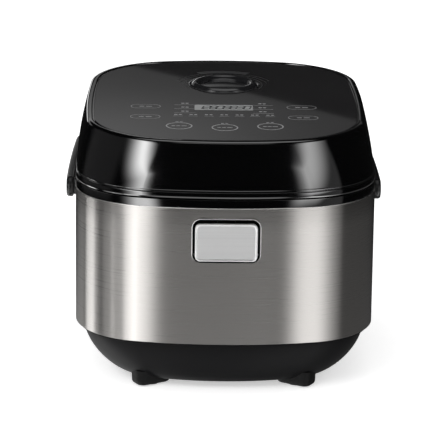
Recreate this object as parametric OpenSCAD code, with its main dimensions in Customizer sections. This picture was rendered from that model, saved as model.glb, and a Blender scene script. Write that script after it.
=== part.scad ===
// Countertop rice cooker: steel wrapped body, hinged lid with a touch panel, bail handle.
// Millimetres, +Z up, +X right, +Y back, standing on z = 0.

/* [Body] */
// Width of the steel wrap
body_w = 280; // [270:1:320]
// Depth of the steel wrap
body_d = 327.4; // [318:0.2:360]
// Corner radius of the body in plan
corner_r = 74; // [66:1:84]
// How far the middle of each side bows out
side_bow = 1; // [0.5:0.1:3]
// How far the middle of the front and back bows out
front_bow = 7; // [4:0.5:9]
// Height of the steel wrap
wrap_h = 129.6; // [126:0.1:150]
// Thickness of the steel wrap
wrap_t = 0.8; // [0.6:0.1:1.2]

/* [Base] */
// Gap between the base and the table
foot_h = 6.2; // [5:0.1:12]
// Height of the bowl-shaped base
base_h = 46.8; // [44:0.1:56]
// Wall of the base
base_t = 2.5; // [2:0.1:3]
// How far the front and back of the base curve in
base_inset_d = 32; // [28:1:38]
// How far the sides of the base curve in
base_inset_w = 40; // [34:1:44]

/* [Collar] */
// Height of the black collar that shows between wrap and lid
collar_h = 7.7; // [7.7:0.1:12]
// Gap between collar and lid
lid_gap = 1.2; // [0.8:0.1:2]

/* [Lid] */
// Height of the lid
lid_h = 51.3; // [49:0.1:60]
// Wall of the lid shell
lid_t = 2.5; // [2:0.1:3]
// How far the lid leans in at each side
lid_lean = 9.4; // [6:0.2:11]
// Width of the rim around the top panel
rim_w = 5.4; // [4:0.1:8]
// Thickness of the top panel
panel_t = 2.2; // [1.8:0.1:2.6]
// How far the lid opens, in degrees
lid_open = 85; // [60:1:88]

/* [Steam vent] */
// Radius of the vent opening in the panel
vent_r = 33.8; // [30:0.1:36]
// Distance of the vent behind the middle of the body
vent_y = 65.9; // [60:0.1:70]
// How far the vent cap stands above the panel
vent_proud = 4; // [2:0.1:6]

/* [Pot and heater] */
// Outer radius of the inner pot
pot_r = 114; // [108:0.5:115]
// Wall of the inner pot
pot_t = 2; // [1.6:0.1:2.4]
// Radius of the heating plate
plate_r = 88; // [80:1:92]
// Thickness of the heating plate
plate_t = 12; // [10:0.5:13]

/* [Release button] */
// Width of the button plate
button_w = 57; // [48:1:60]
// Height of the button plate
button_h = 35.7; // [32:0.1:38]
// Wall of the button frame
frame_t = 1.4; // [1.2:0.1:2]
// Travel of the button, in degrees
button_push = 5; // [3:0.5:5]

/* [Handle] */
// Height of the handle bar
handle_h = 19; // [16:0.5:20]
// Thickness of each handle arm
arm_t = 6.7; // [6:0.1:8]
// Thickness of the grip behind the lid
grip_t = 15; // [12:0.5:18]
// Height of the handle pivot above the table
pivot_z = 157; // [150:0.5:160]

/* [Dew cup] */
// Width of the dew cup
cup_w = 76; // [60:1:80]
// Height of the dew cup
cup_h = 28; // [22:1:30]

/* [Hidden] */

$fn = 64;
eps = 0.05;
fit = 0.3;          // clearance between parts that only lie close
run = 0.08;         // radial running clearance of a pin

// Heights
wrap_z = foot_h + base_h;
collar_z = wrap_z + wrap_h;
deck_z = collar_z + collar_h;
lid_z = deck_z + lid_gap;
rim_z = lid_z + lid_h;
base_floor = foot_h + base_t;

// Body plan
half_w = body_w / 2;
half_d = body_d / 2;

// Pot, plate and shield
pot_top = deck_z - 0.3;
pot_flange = 9;
pot_z = 56;
pot_corner = 22;
plate_z = pot_z - fit - plate_t;
shield_gap = 5;
shield_r = pot_r + shield_gap;
shield_t = 1;
shield_z = plate_z - 10;
collar_hole = shield_r + 0.4;
sensor_r = 17;
lid_disc_r = pot_r - 3;

// Lid plan: the outline leans from the foot of the lid to its rim
lid_half_w = half_w + 0.2;
lid_front = -half_d + 0.3;
lid_back = half_d + 7.3;
lean_power = 1.46;
groove_z = 5.4;     // the shadow line above the foot of the lid
panel_top = rim_z - 0.6;
panel_z = panel_top - panel_t;
roof_t = 2.4;
liner_z = lid_z + 1.5;
liner_t = 2;
dome_z = liner_z + 6.5;

// Hinge behind the body
hinge_y = half_d + 5.8;
hinge_z = collar_z + 1.4;
knuckle_r = 5.3;
ear_in = 40;
ear_out = 52;
leaf_w = 19;
hinge_pin_r = 2;

// Handle
pivot_r = 3;
arm_out = half_w + 10.6;
arm_in = arm_out - arm_t;
handle_back = 206.5;
handle_corner = 58;
lug_r = 8;

// Origin: half way between the front of the button frame and the back of the grip
frame_proud = 1.7;
front_y = -half_d - frame_proud - 0.5;
mid_y = (front_y + handle_back) / 2;

// Release button
button_t = 2.4;
button_z = 151.15;
gap_side = 1.1;
gap_top = 2.3;
gap_foot = 0.5;
duct_w = button_w + 2 * gap_side + 2 * frame_t;
duct_low = button_z - button_h / 2 - gap_foot - frame_t;
duct_high = button_z + button_h / 2 + gap_top + frame_t;
duct_back = -half_d + 14.7;
latch_y = -half_d + 9.7;
latch_floor = 3.2;
latch_z = duct_low + frame_t + latch_floor;
latch_r = 1.5;
hook_z = lid_z + 5.5;
hook_y = -half_d + 13.1;
catch_y = -half_d + 10.6;

// Tie posts between base and collar
tie_x = 90;
tie_y = 100;
tie_r = 5;
shield_bolt_r = 104;

// Control board pocket under the panel
board_w = 176;
board_d = 130;
board_y = -75;
pocket_z = panel_z - 10;
pocket_t = 1.6;

// Dew cup
cup_z = 112;
cup_d = 24;
cup_t = 1.6;
cup_in = half_d - 1 - cup_d;

// Inlet
inlet_z = 78;
inlet_w = 27;
inlet_h = 20;

// ---- plan outlines -------------------------------------------------------

function arc(cx, cy, r, from, to, n) =
    [for (i = [0:n - 1]) let (t = from + (to - from) * i / n) [cx + r * cos(t), cy + r * sin(t)]];

// Rounded rectangle whose four sides are shallow arcs, tangent to the corner arcs
function outline(a, b, r, bx, by, y0 = 0) =
    let (
        cx = a - r - bx,
        cy = b - r - by,
        rs = ((r + bx) ^ 2 + cy ^ 2 - r ^ 2) / (2 * bx),
        rf = ((r + by) ^ 2 + cx ^ 2 - r ^ 2) / (2 * by),
        s = atan2(cy, cx - (a - rs)),
        f = atan2(cx, cy - (b - rf)),
        points = concat(
            arc(a - rs, 0, rs, -s, s, 4),
            arc(cx, cy, r, s, 90 - f, 9),
            arc(0, b - rf, rf, 90 - f, 90 + f, 6),
            arc(-cx, cy, r, 90 + f, 180 - s, 9),
            arc(rs - a, 0, rs, 180 - s, 180 + s, 4),
            arc(-cx, -cy, r, 180 + s, 270 - f, 9),
            arc(0, rf - b, rf, 270 - f, 270 + f, 6),
            arc(cx, -cy, r, 270 + f, 360 - s, 9)
        )
    )
    [for (p = points) [p[0], p[1] + y0]];

function body_outline(i = 0) =
    outline(half_w - i, half_d - i, corner_r - i, side_bow, front_bow);

// Bowl of the base: t runs from 0 at its top to 1 at its floor
function bowl_curve(t) = 1 - (1 - t ^ 1.62) ^ (1 / 1.36);
function bowl_outline(t, wall = 0) =
    let (k = bowl_curve(t), top = 7.8)
    outline(
        half_w - top - (base_inset_w - top) * k - wall,
        half_d - top - (base_inset_d - top) * k - wall,
        corner_r - top - (18) * k - wall,
        side_bow + 2 * k,
        front_bow
    );

// Lid: s runs from 0 at its foot to 1 at its rim
function lid_lean_at(s) = lid_lean * s ^ lean_power;
function lid_outline(s, i = 0) =
    let (
        k = s ^ lean_power,
        a = lid_half_w - lid_lean * k,
        front = lid_front + (lid_lean - 0.5) * k,
        back = lid_back - 3 * k
    )
    outline(
        a - i,
        (back - front) / 2 - i,
        corner_r + 1 + 12 * k - i,
        1.5 + 0.5 * k,
        5.5 - 2 * k,
        (back + front) / 2
    );
function lid_s(z) = (z - lid_z) / lid_h;

function handle_outline(i) =
    outline(arm_out - i, handle_back - i, handle_corner - i, 4, 6);
function handle_hole() =
    outline(arm_in, handle_back - grip_t, handle_corner - 12, 3, 6);

// ---- solids from outlines ------------------------------------------------

module body_frame() translate([0, -mid_y, 0]) children();

// Skin through a list of [z, outline] rings, capped at both ends
module loft(rings) {
    n = len(rings[0][1]);
    m = len(rings);
    points = [for (ring = rings) for (p = ring[1]) [p[0], p[1], ring[0]]];
    sides = [for (k = [0:m - 2]) for (i = [0:n - 1]) let (j = (i + 1) % n)
        [k * n + i, (k + 1) * n + i, (k + 1) * n + j, k * n + j]];
    floor_cap = [[for (i = [0:n - 1]) i]];
    roof_cap = [[for (i = [0:n - 1]) (m - 1) * n + n - 1 - i]];
    polyhedron(points, concat(floor_cap, sides, roof_cap), convexity = 8);
}

module slab(points, z, h) translate([0, 0, z]) linear_extrude(h) polygon(points);

module tube(r_out, r_in, h) difference() {
    cylinder(r = r_out, h = h);
    translate([0, 0, -1]) cylinder(r = r_in, h = h + 2);
}

// Rounded rectangle made of exact arcs
module rounded(w, h, r) {
    square([w - 2 * r, h], center = true);
    square([w, h - 2 * r], center = true);
    for (x = [-1, 1], y = [-1, 1])
        translate([x * (w / 2 - r), y * (h / 2 - r)]) circle(r);
}

module box(x0, x1, y0, y1, z0, z1)
    translate([x0, y0, z0]) cube([x1 - x0, y1 - y0, z1 - z0]);

module along_x(y, z, x0, x1) translate([x0, y, z]) rotate([0, 90, 0]) children();

// Pan head screw pointing up (+Z) from under its head
module screw(shank_r, len, head_r, head_h) {
    difference() {
        translate([0, 0, -head_h]) cylinder(r = head_r, h = head_h);
        for (a = [0, 90]) rotate([0, 0, a])
            translate([-head_r * 0.6, -head_r * 0.12, -head_h - 1])
                cube([head_r * 1.2, head_r * 0.24, head_h * 0.5 + 1]);
    }
    cylinder(r = shank_r, h = len);
}

// Round wire wound on a helix about +Z
module coil(r, wire, turns, h, legs = []) {
    steps = 14;
    sides = 6;
    rings = round(turns * steps);
    rise = h - 2 * wire;
    ends = len(legs) / 2;
    points = [for (k = [-ends:rings + ends])
        let (c = max(0, min(rings, k)), a = 360 * c / steps, z = wire + rise * c / rings)
        let (t = k < 0 ? -legs[0] : k > rings ? legs[1] : 0)
        for (i = [0:sides - 1]) let (b = -360 * i / sides, q = r + wire * cos(b))
            [q * cos(a) - t * sin(a), q * sin(a) + t * cos(a), z + wire * sin(b)]];
    spans = rings + 2 * ends;
    skin = [for (k = [0:spans - 1]) for (i = [0:sides - 1]) let (j = (i + 1) % sides)
        [k * sides + i, k * sides + j, (k + 1) * sides + j, (k + 1) * sides + i]];
    first = [[for (i = [0:sides - 1]) sides - 1 - i]];
    last = [[for (i = [0:sides - 1]) spans * sides + i]];
    polyhedron(points, concat(first, skin, last), convexity = 10);
}

module ties() for (x = [-tie_x, tie_x], y = [-tie_y, tie_y]) translate([x, y, 0]) children();
module shield_bolts() for (a = [0, 180, 270]) rotate([0, 0, a]) translate([shield_bolt_r, 0, 0]) children();

// ---- base ----------------------------------------------------------------

foot_len = 36;
foot_wide = 22;
foot_x = 68;
foot_y = 117;
foot_turn = 30;
pad_r = 8;
pad_t = 3;
flange_h = 3;
bowl_top = wrap_z - flange_h;
bowl_steps = 9;
tie_split = wrap_z - 3;

module feet() for (sx = [-1, 1], sy = [-1, 1])
    translate([sx * foot_x, sy * foot_y, 0]) rotate([0, 0, sx * sy * foot_turn]) children();

module bowl_skin(wall, low, high) {
    rings = [for (k = [0:bowl_steps]) let (t = 1 - k / bowl_steps)
        [low + (high - low) * (1 - t), bowl_outline(t, wall)]];
    loft(rings);
}

module base_shell() color("#1d1d1f") body_frame() {
    shield_boss_r = 7;
    difference() {
        union() {
            bowl_skin(0, foot_h, bowl_top);
            slab(body_outline(3.2), bowl_top - eps, flange_h);
            feet() translate([0, 0, pad_t / 3]) linear_extrude(14)
                rounded(foot_len, foot_wide, 8);
        }
        difference() {
            union() {
                bowl_skin(base_t, base_floor, bowl_top);
                slab(bowl_outline(0, base_t), bowl_top - eps, flange_h + 1);
            }
            ties() translate([0, 0, foot_h]) cylinder(r = tie_r, h = tie_split - foot_h);
            shield_bolts() translate([0, 0, foot_h])
                cylinder(r = shield_boss_r, h = shield_z - foot_h);
            board_feet() translate([0, 0, foot_h])
                cylinder(r = bracket_boss_r, h = bracket_z - foot_h);
        }
        feet() translate([0, 0, -1]) cylinder(r = pad_r + 0.05, h = pad_t + 1);
        ties() {
            translate([0, 0, foot_h - 1]) cylinder(r = tie_head_r + 0.4, h = tie_head_h + 2.3);
            translate([0, 0, foot_h]) cylinder(r = tie_screw_r + 0.1, h = base_h);
        }
        shield_bolts() {
            translate([0, 0, foot_h - 1]) cylinder(r = tie_head_r + 0.4, h = tie_head_h + 2.3);
            translate([0, 0, foot_h]) cylinder(r = tie_screw_r + 0.1, h = base_h);
        }
        board_feet() translate([0, 0, base_floor]) cylinder(r = 1.5, h = bracket_z);
        for (x = [-5:5], y = [-1, 1]) translate([x * 9, y * 40, 0])
            translate([-2, -18, foot_h - 1]) cube([4, 36, base_t + 2]);
    }
}

module foot_pads() color("#2a2a2a") body_frame()
    feet() cylinder(r = pad_r, h = pad_t);

tie_head_r = 4;
tie_head_h = 2.4;
tie_screw_r = 2;
tie_recess = foot_h + tie_head_h + 1.3;

module base_screws() color("silver") body_frame()
    ties() translate([0, 0, tie_recess]) screw(tie_screw_r, tie_split + 14 - tie_recess, tie_head_r, tie_head_h);

// ---- body ----------------------------------------------------------------

module wrap_window(w, h, z, y, r) translate([0, y, z]) rotate([90, 0, 0])
    linear_extrude(20, center = true) rounded(w, h, r);

module steel_wrap() color("#c9c9c7") body_frame() difference() {
    slab(body_outline(), wrap_z, wrap_h);
    slab(body_outline(wrap_t), wrap_z - 1, wrap_h + 2);
    wrap_window(duct_w + 0.3, duct_high - duct_low + 0.3, (duct_low + duct_high) / 2, -half_d, 8.1);
    wrap_window(cup_w + 2 * cup_t + 2, cup_h + 6, cup_z + cup_h / 2, half_d, 3);
    wrap_window(inlet_w + 0.4, inlet_h + 0.4, inlet_z, half_d, 3);
    for (x = [-inlet_hole_x, inlet_hole_x]) translate([x, half_d, inlet_z])
        rotate([90, 0, 0]) cylinder(r = 1.8, h = 20, center = true);
    along_x(0, pivot_z, -half_w - 10, half_w + 10)
        cylinder(r = lug_r + 0.15, h = body_w + 20);
}

skirt_low = collar_z - 14;
tongue_low = pivot_z - lug_r - 4;
deck_t = 3;
seat_r = pot_r + pot_flange + 0.6;

module upper_collar() color("#161617") body_frame() difference() {
    union() {
        difference() {
            slab(body_outline(0.4), collar_z, collar_h);
            slab(body_outline(4), collar_z - 1, collar_h - deck_t + 1);
        }
        difference() {
            slab(body_outline(wrap_t + 0.3), skirt_low, collar_z - skirt_low + 1);
            slab(body_outline(4), skirt_low - 1, collar_z - skirt_low + 3);
        }
        // side tongues that carry the handle lugs
        intersection() {
            difference() {
                slab(body_outline(wrap_t + 0.3), tongue_low, collar_z - tongue_low);
                slab(body_outline(wrap_t + 3.3), tongue_low - 1, collar_z - tongue_low + 2);
            }
            box(-half_w, half_w, -16, 16, tongue_low, collar_z);
        }
        for (s = [0, 1]) mirror([s, 0, 0])
            along_x(0, pivot_z, half_w - 3, 0) cylinder(r = lug_r, h = arm_in - half_w + 3 - fit);
        ties() translate([0, 0, tie_split + fit]) cylinder(r = tie_r, h = deck_z - tie_split - 1);
        hinge_ears();
    }
    translate([0, 0, skirt_low]) cylinder(r = collar_hole, h = deck_z, $fn = 128);
    translate([0, 0, deck_z - 1.5]) cylinder(r = seat_r, h = 3, $fn = 128);
    // slot for the latch hook
    box(-12, 12, -half_d + 9.5, -half_d + 25, collar_z - 2, deck_z + 1);
    ties() translate([0, 0, tie_split - 1]) cylinder(r = tie_screw_r + 0.05, h = 20);
    along_x(0, pivot_z, -half_w - 20, 0) cylinder(r = pivot_r + 0.05, h = 2 * half_w + 40);
    along_x(hinge_y, hinge_z, -ear_out - 1, 0) cylinder(r = hinge_pin_r + 0.05, h = 2 * ear_out + 2);
    // drain into the dew cup
    translate([0, drain_y, collar_z]) cylinder(r = 4.15, h = 20);
    // room for the button frame under the deck
    box(-duct_w / 2 - 6, duct_w / 2 + 6, -half_d, duct_back + 4, skirt_low - 1, duct_high + 5.5);
}

module hinge_ears() for (s = [0, 1]) mirror([s, 0, 0]) {
    along_x(hinge_y, hinge_z, ear_in, ear_out) cylinder(r = knuckle_r, h = ear_out - ear_in);
    box(ear_in, ear_out, half_d - 12, hinge_y, collar_z + 0.4, deck_z - 1);
}

module shield_profile() {
    w = shield_t;
    polygon([
        [30, shield_z], [shield_r + w, shield_z], [shield_r + w, deck_z - deck_t - w],
        [shield_r + 7, deck_z - deck_t - w], [shield_r + 7, deck_z - deck_t],
        [shield_r, deck_z - deck_t], [shield_r, shield_z + w], [30, shield_z + w]
    ]);
}

module heat_shield() color("#b9bcc0") body_frame() difference() {
    rotate_extrude($fn = 128) shield_profile();
    shield_bolts() translate([0, 0, shield_z - 1]) cylinder(r = tie_screw_r + 0.1, h = 4);
    plate_spots() translate([0, 0, shield_z - 1]) cylinder(r = tie_screw_r + 0.1, h = 4);
    for (s = [-1, 1]) translate([s * element_end, -element_r, shield_z - 1]) cylinder(r = 6, h = 4);
}

shield_nut_h = 3.2;

module shield_screws() color("silver") body_frame()
    shield_bolts() translate([0, 0, tie_recess])
        screw(tie_screw_r, shield_z + shield_t + shield_nut_h + 1 - tie_recess, tie_head_r, tie_head_h);

module shield_nuts() color("silver") body_frame()
    shield_bolts() translate([0, 0, shield_z + shield_t]) difference() {
        cylinder(r = 4, h = shield_nut_h, $fn = 6);
        translate([0, 0, -1]) cylinder(r = tie_screw_r + 0.05, h = shield_nut_h + 2);
    }

module side_heater() color("#8c7a5a") body_frame() {
    band_z = 92;
    band_h = 26;
    band_t = 2.1;
    band_r = shield_r + shield_t + 0.1;
    translate([0, 0, band_z]) tube(band_r + band_t, band_r, band_h, $fn = 128);
}

// ---- heater and pot ------------------------------------------------------

element_r = 66;
element_wire = 4;
element_end = 14;
post_r = 5;
post_bolt_r = 78;

module plate_spots() for (a = [30, 150, 270]) rotate([0, 0, a]) translate([post_bolt_r, 0, 0]) children();

module heating_plate() color("#a9abad") body_frame() difference() {
    translate([0, 0, plate_z]) cylinder(r = plate_r, h = plate_t, $fn = 128);
    translate([0, 0, plate_z - 1]) cylinder(r = sensor_r + 2, h = plate_t + 2);
    rotate_extrude($fn = 96) translate([element_r, plate_z]) circle(element_wire + fit, $fn = 48);
    plate_spots() translate([0, 0, plate_z - 1]) cylinder(r = tie_screw_r + 0.05, h = 8);
}

module heating_element() color("#6d6f72") body_frame() {
    difference() {
        rotate_extrude($fn = 96) translate([element_r, plate_z]) circle(element_wire, $fn = 48);
        translate([0, -element_r, plate_z]) cube([2 * element_end - 6, 24, 12], center = true);
    }
    for (s = [-1, 1]) translate([s * element_end, -element_r + 1.4, shield_z - 6])
        cylinder(r = 2.4, h = plate_z - shield_z + 6);
}

module plate_posts() color("#9a9c9f") body_frame()
    plate_spots() translate([0, 0, shield_z + shield_t])
        tube(post_r, tie_screw_r + 0.05, plate_z - shield_z - shield_t);

module plate_screws() color("silver") body_frame()
    plate_spots() translate([0, 0, shield_z]) screw(tie_screw_r, plate_z - shield_z + 6, tie_head_r, tie_head_h);

module thermal_fuse() color("#d8cfae") body_frame() {
    fuse_z = shield_z + shield_t + 2.6;
    translate([-8, 46, fuse_z]) rotate([0, 90, 0]) cylinder(r = 2.6, h = 16);
    for (x = [-14, 8]) translate([x, 46, fuse_z]) rotate([0, 90, 0]) cylinder(r = 0.8, h = 6);
}

module sensor_housing() color("#7b7d80") body_frame() {
    r = sensor_r - 2.4;
    translate([0, 0, shield_z - 2]) difference() {
        union() {
            cylinder(r = r, h = 8);
            cylinder(r = 34, h = 2);
        }
        translate([0, 0, 2]) cylinder(r = r - 1.6, h = 10);
    }
}

sensor_spring_h = 10;

module sensor_spring() color("#b0b0b0") body_frame()
    translate([0, 0, shield_z + 0.1]) coil(6.8, 0.7, 4, sensor_spring_h);

module sensor_cap() color("#c4c6c8") body_frame() {
    top = pot_z - fit;
    translate([0, 0, top - 1.2]) cylinder(r = sensor_r, h = 1.2);
    translate([0, 0, top - 9]) tube(sensor_r, sensor_r - 1.2, 8.2);
    translate([0, 0, shield_z + 0.2 + sensor_spring_h]) cylinder(r = 8, h = top - 1 - shield_z - 0.2 - sensor_spring_h);
}

module inner_pot() color("#4a4b4d") body_frame() {
    n = 10;
    out = [for (i = [0:n]) let (a = 90 * i / n)
        [pot_r - pot_corner + pot_corner * sin(a), pot_z + pot_corner - pot_corner * cos(a)]];
    c = pot_corner - pot_t;
    inside = [for (i = [n:-1:0]) let (a = 90 * i / n)
        [pot_r - pot_corner + c * sin(a), pot_z + pot_corner - c * cos(a)]];
    rotate_extrude($fn = 128) polygon(concat(
        [[0, pot_z]], out,
        [[pot_r, pot_top - 1.2], [pot_r + pot_flange, pot_top - 1.2], [pot_r + pot_flange, pot_top],
            [pot_r - pot_t, pot_top]],
        inside, [[0, pot_z + pot_t]]
    ));
}

// ---- power supply --------------------------------------------------------

bracket_boss_r = 5;
bracket_z = 28;
bracket_w = 108;
bracket_y = -shield_r - shield_t - 6;
supply_z = 56;
supply_w = 104;
supply_h = 62;

bracket_boss_y = 106;
bracket_boss_x = 36;
board_edge = 5;
board_hole_x = supply_w / 2 - board_edge - 1;

module board_feet() for (x = [-bracket_boss_x, bracket_boss_x])
    translate([x, -bracket_boss_y, 0]) children();

// The four fixings of the power board, pointing forward from the bracket
module board_corners()
    for (x = [-board_hole_x, board_hole_x], z = [supply_z + board_edge, supply_z + supply_h - board_edge])
        translate([x, bracket_y, z]) rotate([90, 0, 0]) children();

module board_bracket() color("#e4e1d6") body_frame() {
    difference() {
        union() {
            box(-bracket_w / 2, bracket_w / 2, bracket_y, bracket_y + 2, bracket_z, supply_z + supply_h + 2);
            board_feet() box(-7, 7, bracket_y + bracket_boss_y, 7, bracket_z, bracket_z + 2);
            board_corners() cylinder(r = 3, h = 3);
        }
        board_feet() translate([0, 0, bracket_z - 1]) cylinder(r = 1.5, h = 4);
        board_corners() translate([0, 0, -3]) cylinder(r = 1.5, h = 8);
    }
}

module power_board() color("#2f6b3a") body_frame() difference() {
    box(-supply_w / 2, supply_w / 2, bracket_y - 4.6, bracket_y - 3, supply_z, supply_z + supply_h);
    board_corners() cylinder(r = 1.6, h = 10);
}

board_face = bracket_y - 4.6;

module board_screws() color("silver") body_frame() {
    board_corners() translate([0, 0, bracket_y - board_face]) rotate([180, 0, 0]) screw(1.45, 6, 2.8, 1.8);
    board_feet() translate([0, 0, bracket_z + 2]) rotate([180, 0, 0]) screw(1.45, 10, 2.8, 1.8);
}

module transformer() color("#d9b23c") body_frame() {
    box(-38, -10, board_face - 18, board_face, supply_z + 8, supply_z + 32);
    box(-42, -6, board_face - 13, board_face - 5, supply_z + 12, supply_z + 28);
}

module relay() color("#2b4fa0") body_frame()
    box(10, 29, board_face - 16, board_face, supply_z + 10, supply_z + 26);

module capacitors() color("#3a3a3c") body_frame() {
    for (x = [2, 16]) translate([x, board_face, supply_z + 46]) rotate([90, 0, 0]) cylinder(r = 5, h = 16);
    box(-36, -18, board_face - 12, board_face, supply_z + 42, supply_z + 54);
}

inlet_hole_x = 20;
inlet_depth = 22;
inlet_wall = 2;

module inlet_face(w, h, r, y0, y1)
    translate([0, y1, inlet_z]) rotate([90, 0, 0]) linear_extrude(y1 - y0) rounded(w, h, r);

module ac_inlet() color("#1b1b1c") body_frame() difference() {
    union() {
        inlet_face(inlet_w, inlet_h, 3, half_d - inlet_depth, half_d + 1);
        difference() {
            inlet_face(2 * inlet_hole_x + 10, inlet_h + 4, 5, half_d - 3, half_d + 2);
            slab(body_outline(-0.05), inlet_z - 20, 40);
        }
    }
    inlet_face(inlet_w - 2 * inlet_wall, inlet_h - 2 * inlet_wall, 2.5, half_d - inlet_depth + inlet_wall, half_d + 3);
    for (x = [-inlet_hole_x, inlet_hole_x]) translate([x, half_d, inlet_z])
        rotate([90, 0, 0]) cylinder(r = 1.6, h = 20, center = true);
    for (p = inlet_pin_places) translate([p[0], half_d - inlet_depth, inlet_z + p[1]])
        cube([2.1, 8, 4.1], center = true);
}

inlet_pin_places = [[-7, 2], [7, 2], [0, -2]];

module inlet_pins() color("#caa84c") body_frame()
    for (p = inlet_pin_places)
        translate([p[0] - 1, half_d - inlet_depth - 8, inlet_z + p[1] - 2]) cube([2, 22, 4]);

module inlet_screws() color("silver") body_frame()
    for (x = [-inlet_hole_x, inlet_hole_x]) translate([x, half_d + 2, inlet_z])
        rotate([90, 0, 0]) screw(1.5, 8, 2.8, 1.4);

// ---- release button and latch --------------------------------------------

arm_half = 8;
latch_hub = duct_w / 2 - 11;
latch_coil_r = 2.2;

module duct_shape(i, r) translate([0, (duct_low + duct_high) / 2])
    rounded(duct_w - 2 * i, duct_high - duct_low - 2 * i, r);

module button_frame() color("#101011") body_frame() difference() {
    union() {
        translate([0, duct_back, 0]) rotate([90, 0, 0])
            linear_extrude(duct_back + half_d + frame_proud) duct_shape(0, 8);
        // flange behind the wrap
        translate([0, -half_d + 5.6, 0]) rotate([90, 0, 0]) linear_extrude(2) duct_shape(-4.5, 12);
    }
    translate([0, duct_back + 1, 0]) rotate([90, 0, 0])
        linear_extrude(duct_back + half_d + frame_proud + 2) duct_shape(frame_t, 8 - frame_t);
    // slot for the hook arm
    box(-arm_half - 2, arm_half + 2, latch_y - 5, duct_back + 1, duct_high - frame_t - 1, duct_high + 6);
    along_x(latch_y, latch_z, -duct_w / 2 - 1, 0) cylinder(r = latch_r + 0.03, h = duct_w + 2);
}

plate_back = -half_d + 0.2;

module release_button() color("#c6c7c8") body_frame() difference() {
    translate([0, plate_back, button_z]) rotate([90, 0, 0]) linear_extrude(button_t) rounded(button_w, button_h, 5);
    translate([0, plate_back - button_t + 0.5, button_z]) rotate([90, 0, 0])
        linear_extrude(2) rounded(button_w - 3, button_h - 3, 4);
}

module latch_lever() color("#232325") body_frame() {
    lever_face = plate_back;
    low = button_z - button_h / 2 + 2.5;
    high = button_z + button_h / 2 - 1;
    hub_r = 2.9;
    difference() {
        union() {
            box(-button_w / 2 + 3, button_w / 2 - 3, lever_face, lever_face + 2.2, low, high);
            along_x(latch_y, latch_z, -latch_hub, 0) cylinder(r = hub_r, h = 2 * latch_hub);
            for (x = [-latch_hub + 1.2, latch_hub - 1.2]) translate([x, 0, 0]) rotate([90, 0, 90])
                linear_extrude(2.4, center = true) polygon([
                    [lever_face + 2, low], [latch_y, latch_z - hub_r], [latch_y + hub_r, latch_z],
                    [lever_face + 2, latch_z + 16]
                ]);
            rotate([90, 0, 90]) linear_extrude(2 * arm_half, center = true) polygon([
                [lever_face + 2, low], [latch_y, latch_z - hub_r], [latch_y + 2.4, latch_z],
                [latch_y + 2.4, latch_z + 26], [hook_y + 3.6, duct_high - 1],
                [hook_y + 3.6, hook_z + 4.5], [hook_y + 0.6, hook_z + 4.5],
                [hook_y - 1.9, hook_z + 2.5], [hook_y - 1.9, hook_z], [hook_y, hook_z],
                [hook_y, duct_high + 3], [latch_y, duct_high - 3],
                [lever_face + 2, high - 3]
            ]);
        }
        along_x(latch_y, latch_z, -duct_w, 0) cylinder(r = latch_r + run, h = 2 * duct_w);
    }
}

module latch_pin() color("silver") body_frame()
    along_x(latch_y, latch_z, -duct_w / 2, 0) cylinder(r = latch_r, h = duct_w);

// Torsion springs on the pin: one leg on the floor of the frame, one behind the lever
module latch_springs() color("#b0b0b0") body_frame()
    for (s = [0, 1]) mirror([s, 0, 0]) along_x(latch_y, latch_z, latch_hub + 0.4, 0)
        rotate([0, 0, 90]) coil(latch_coil_r, 0.3, 3.14, 3.2, [latch_floor - 0.2, 9.7]);

// ---- hinge ---------------------------------------------------------------

knuckle_out = ear_in - 0.5;
neck_y0 = half_d + 0.5;
neck_y1 = lid_back - lid_t - 2.2;
leaf_z = liner_z + liner_t;

module hinge_leaf() color("#8f9194") body_frame() difference() {
    union() for (s = [0, 1]) mirror([s, 0, 0]) {
        along_x(hinge_y, hinge_z, knuckle_out - leaf_w, 0) cylinder(r = knuckle_r, h = leaf_w);
        box(knuckle_out - leaf_w, knuckle_out, neck_y0, neck_y1, hinge_z, leaf_z + 4);
        box(0, knuckle_out, half_d - 22, neck_y1, leaf_z, leaf_z + 2.4);
    }
    along_x(hinge_y, hinge_z, -ear_in, 0) cylinder(r = hinge_pin_r + run, h = 2 * ear_in);
    leaf_spots() translate([0, 0, leaf_z - 1]) cylinder(r = 1.7, h = 5);
}

module leaf_spots() for (x = [-30, 0, 30]) translate([x, half_d - 16, 0]) children();

module bracket_screws() color("silver") body_frame() {
    leaf_spots() translate([0, 0, leaf_z + 2.4]) rotate([180, 0, 0]) screw(1.6, 4.2, 3, 1.8);
    catch_spots() translate([0, 0, leaf_z + catch_t]) rotate([180, 0, 0]) screw(1.6, 3.2, 2.4, 1.6);
}

module hinge_pin() color("silver") body_frame()
    along_x(hinge_y, hinge_z, -ear_out, 0) cylinder(r = hinge_pin_r, h = 2 * ear_out);

module hinge_spring() color("#b0b0b0") body_frame()
    along_x(hinge_y, hinge_z, -knuckle_out + leaf_w + 1, 0)
        coil(3.3, 0.6, 9, 2 * (knuckle_out - leaf_w - 1));

// ---- dew cup -------------------------------------------------------------

holder_in = cup_in - cup_t - 0.5;
holder_out = half_d - 3.4;
drain_y = half_d - 16;

module dew_cup_holder() color("#1b1b1c") body_frame() difference() {
    w = cup_w / 2 + 0.6;
    box(-w - cup_t, w + cup_t, holder_in - cup_t, holder_out, cup_z - 0.5 - cup_t, cup_z + cup_h + 0.8 + cup_t);
    box(-w, w, holder_in, half_d, cup_z - 0.5, cup_z + cup_h + 0.8);
    translate([0, drain_y, cup_z + cup_h]) cylinder(r = 2.6, h = 10);
}

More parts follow.
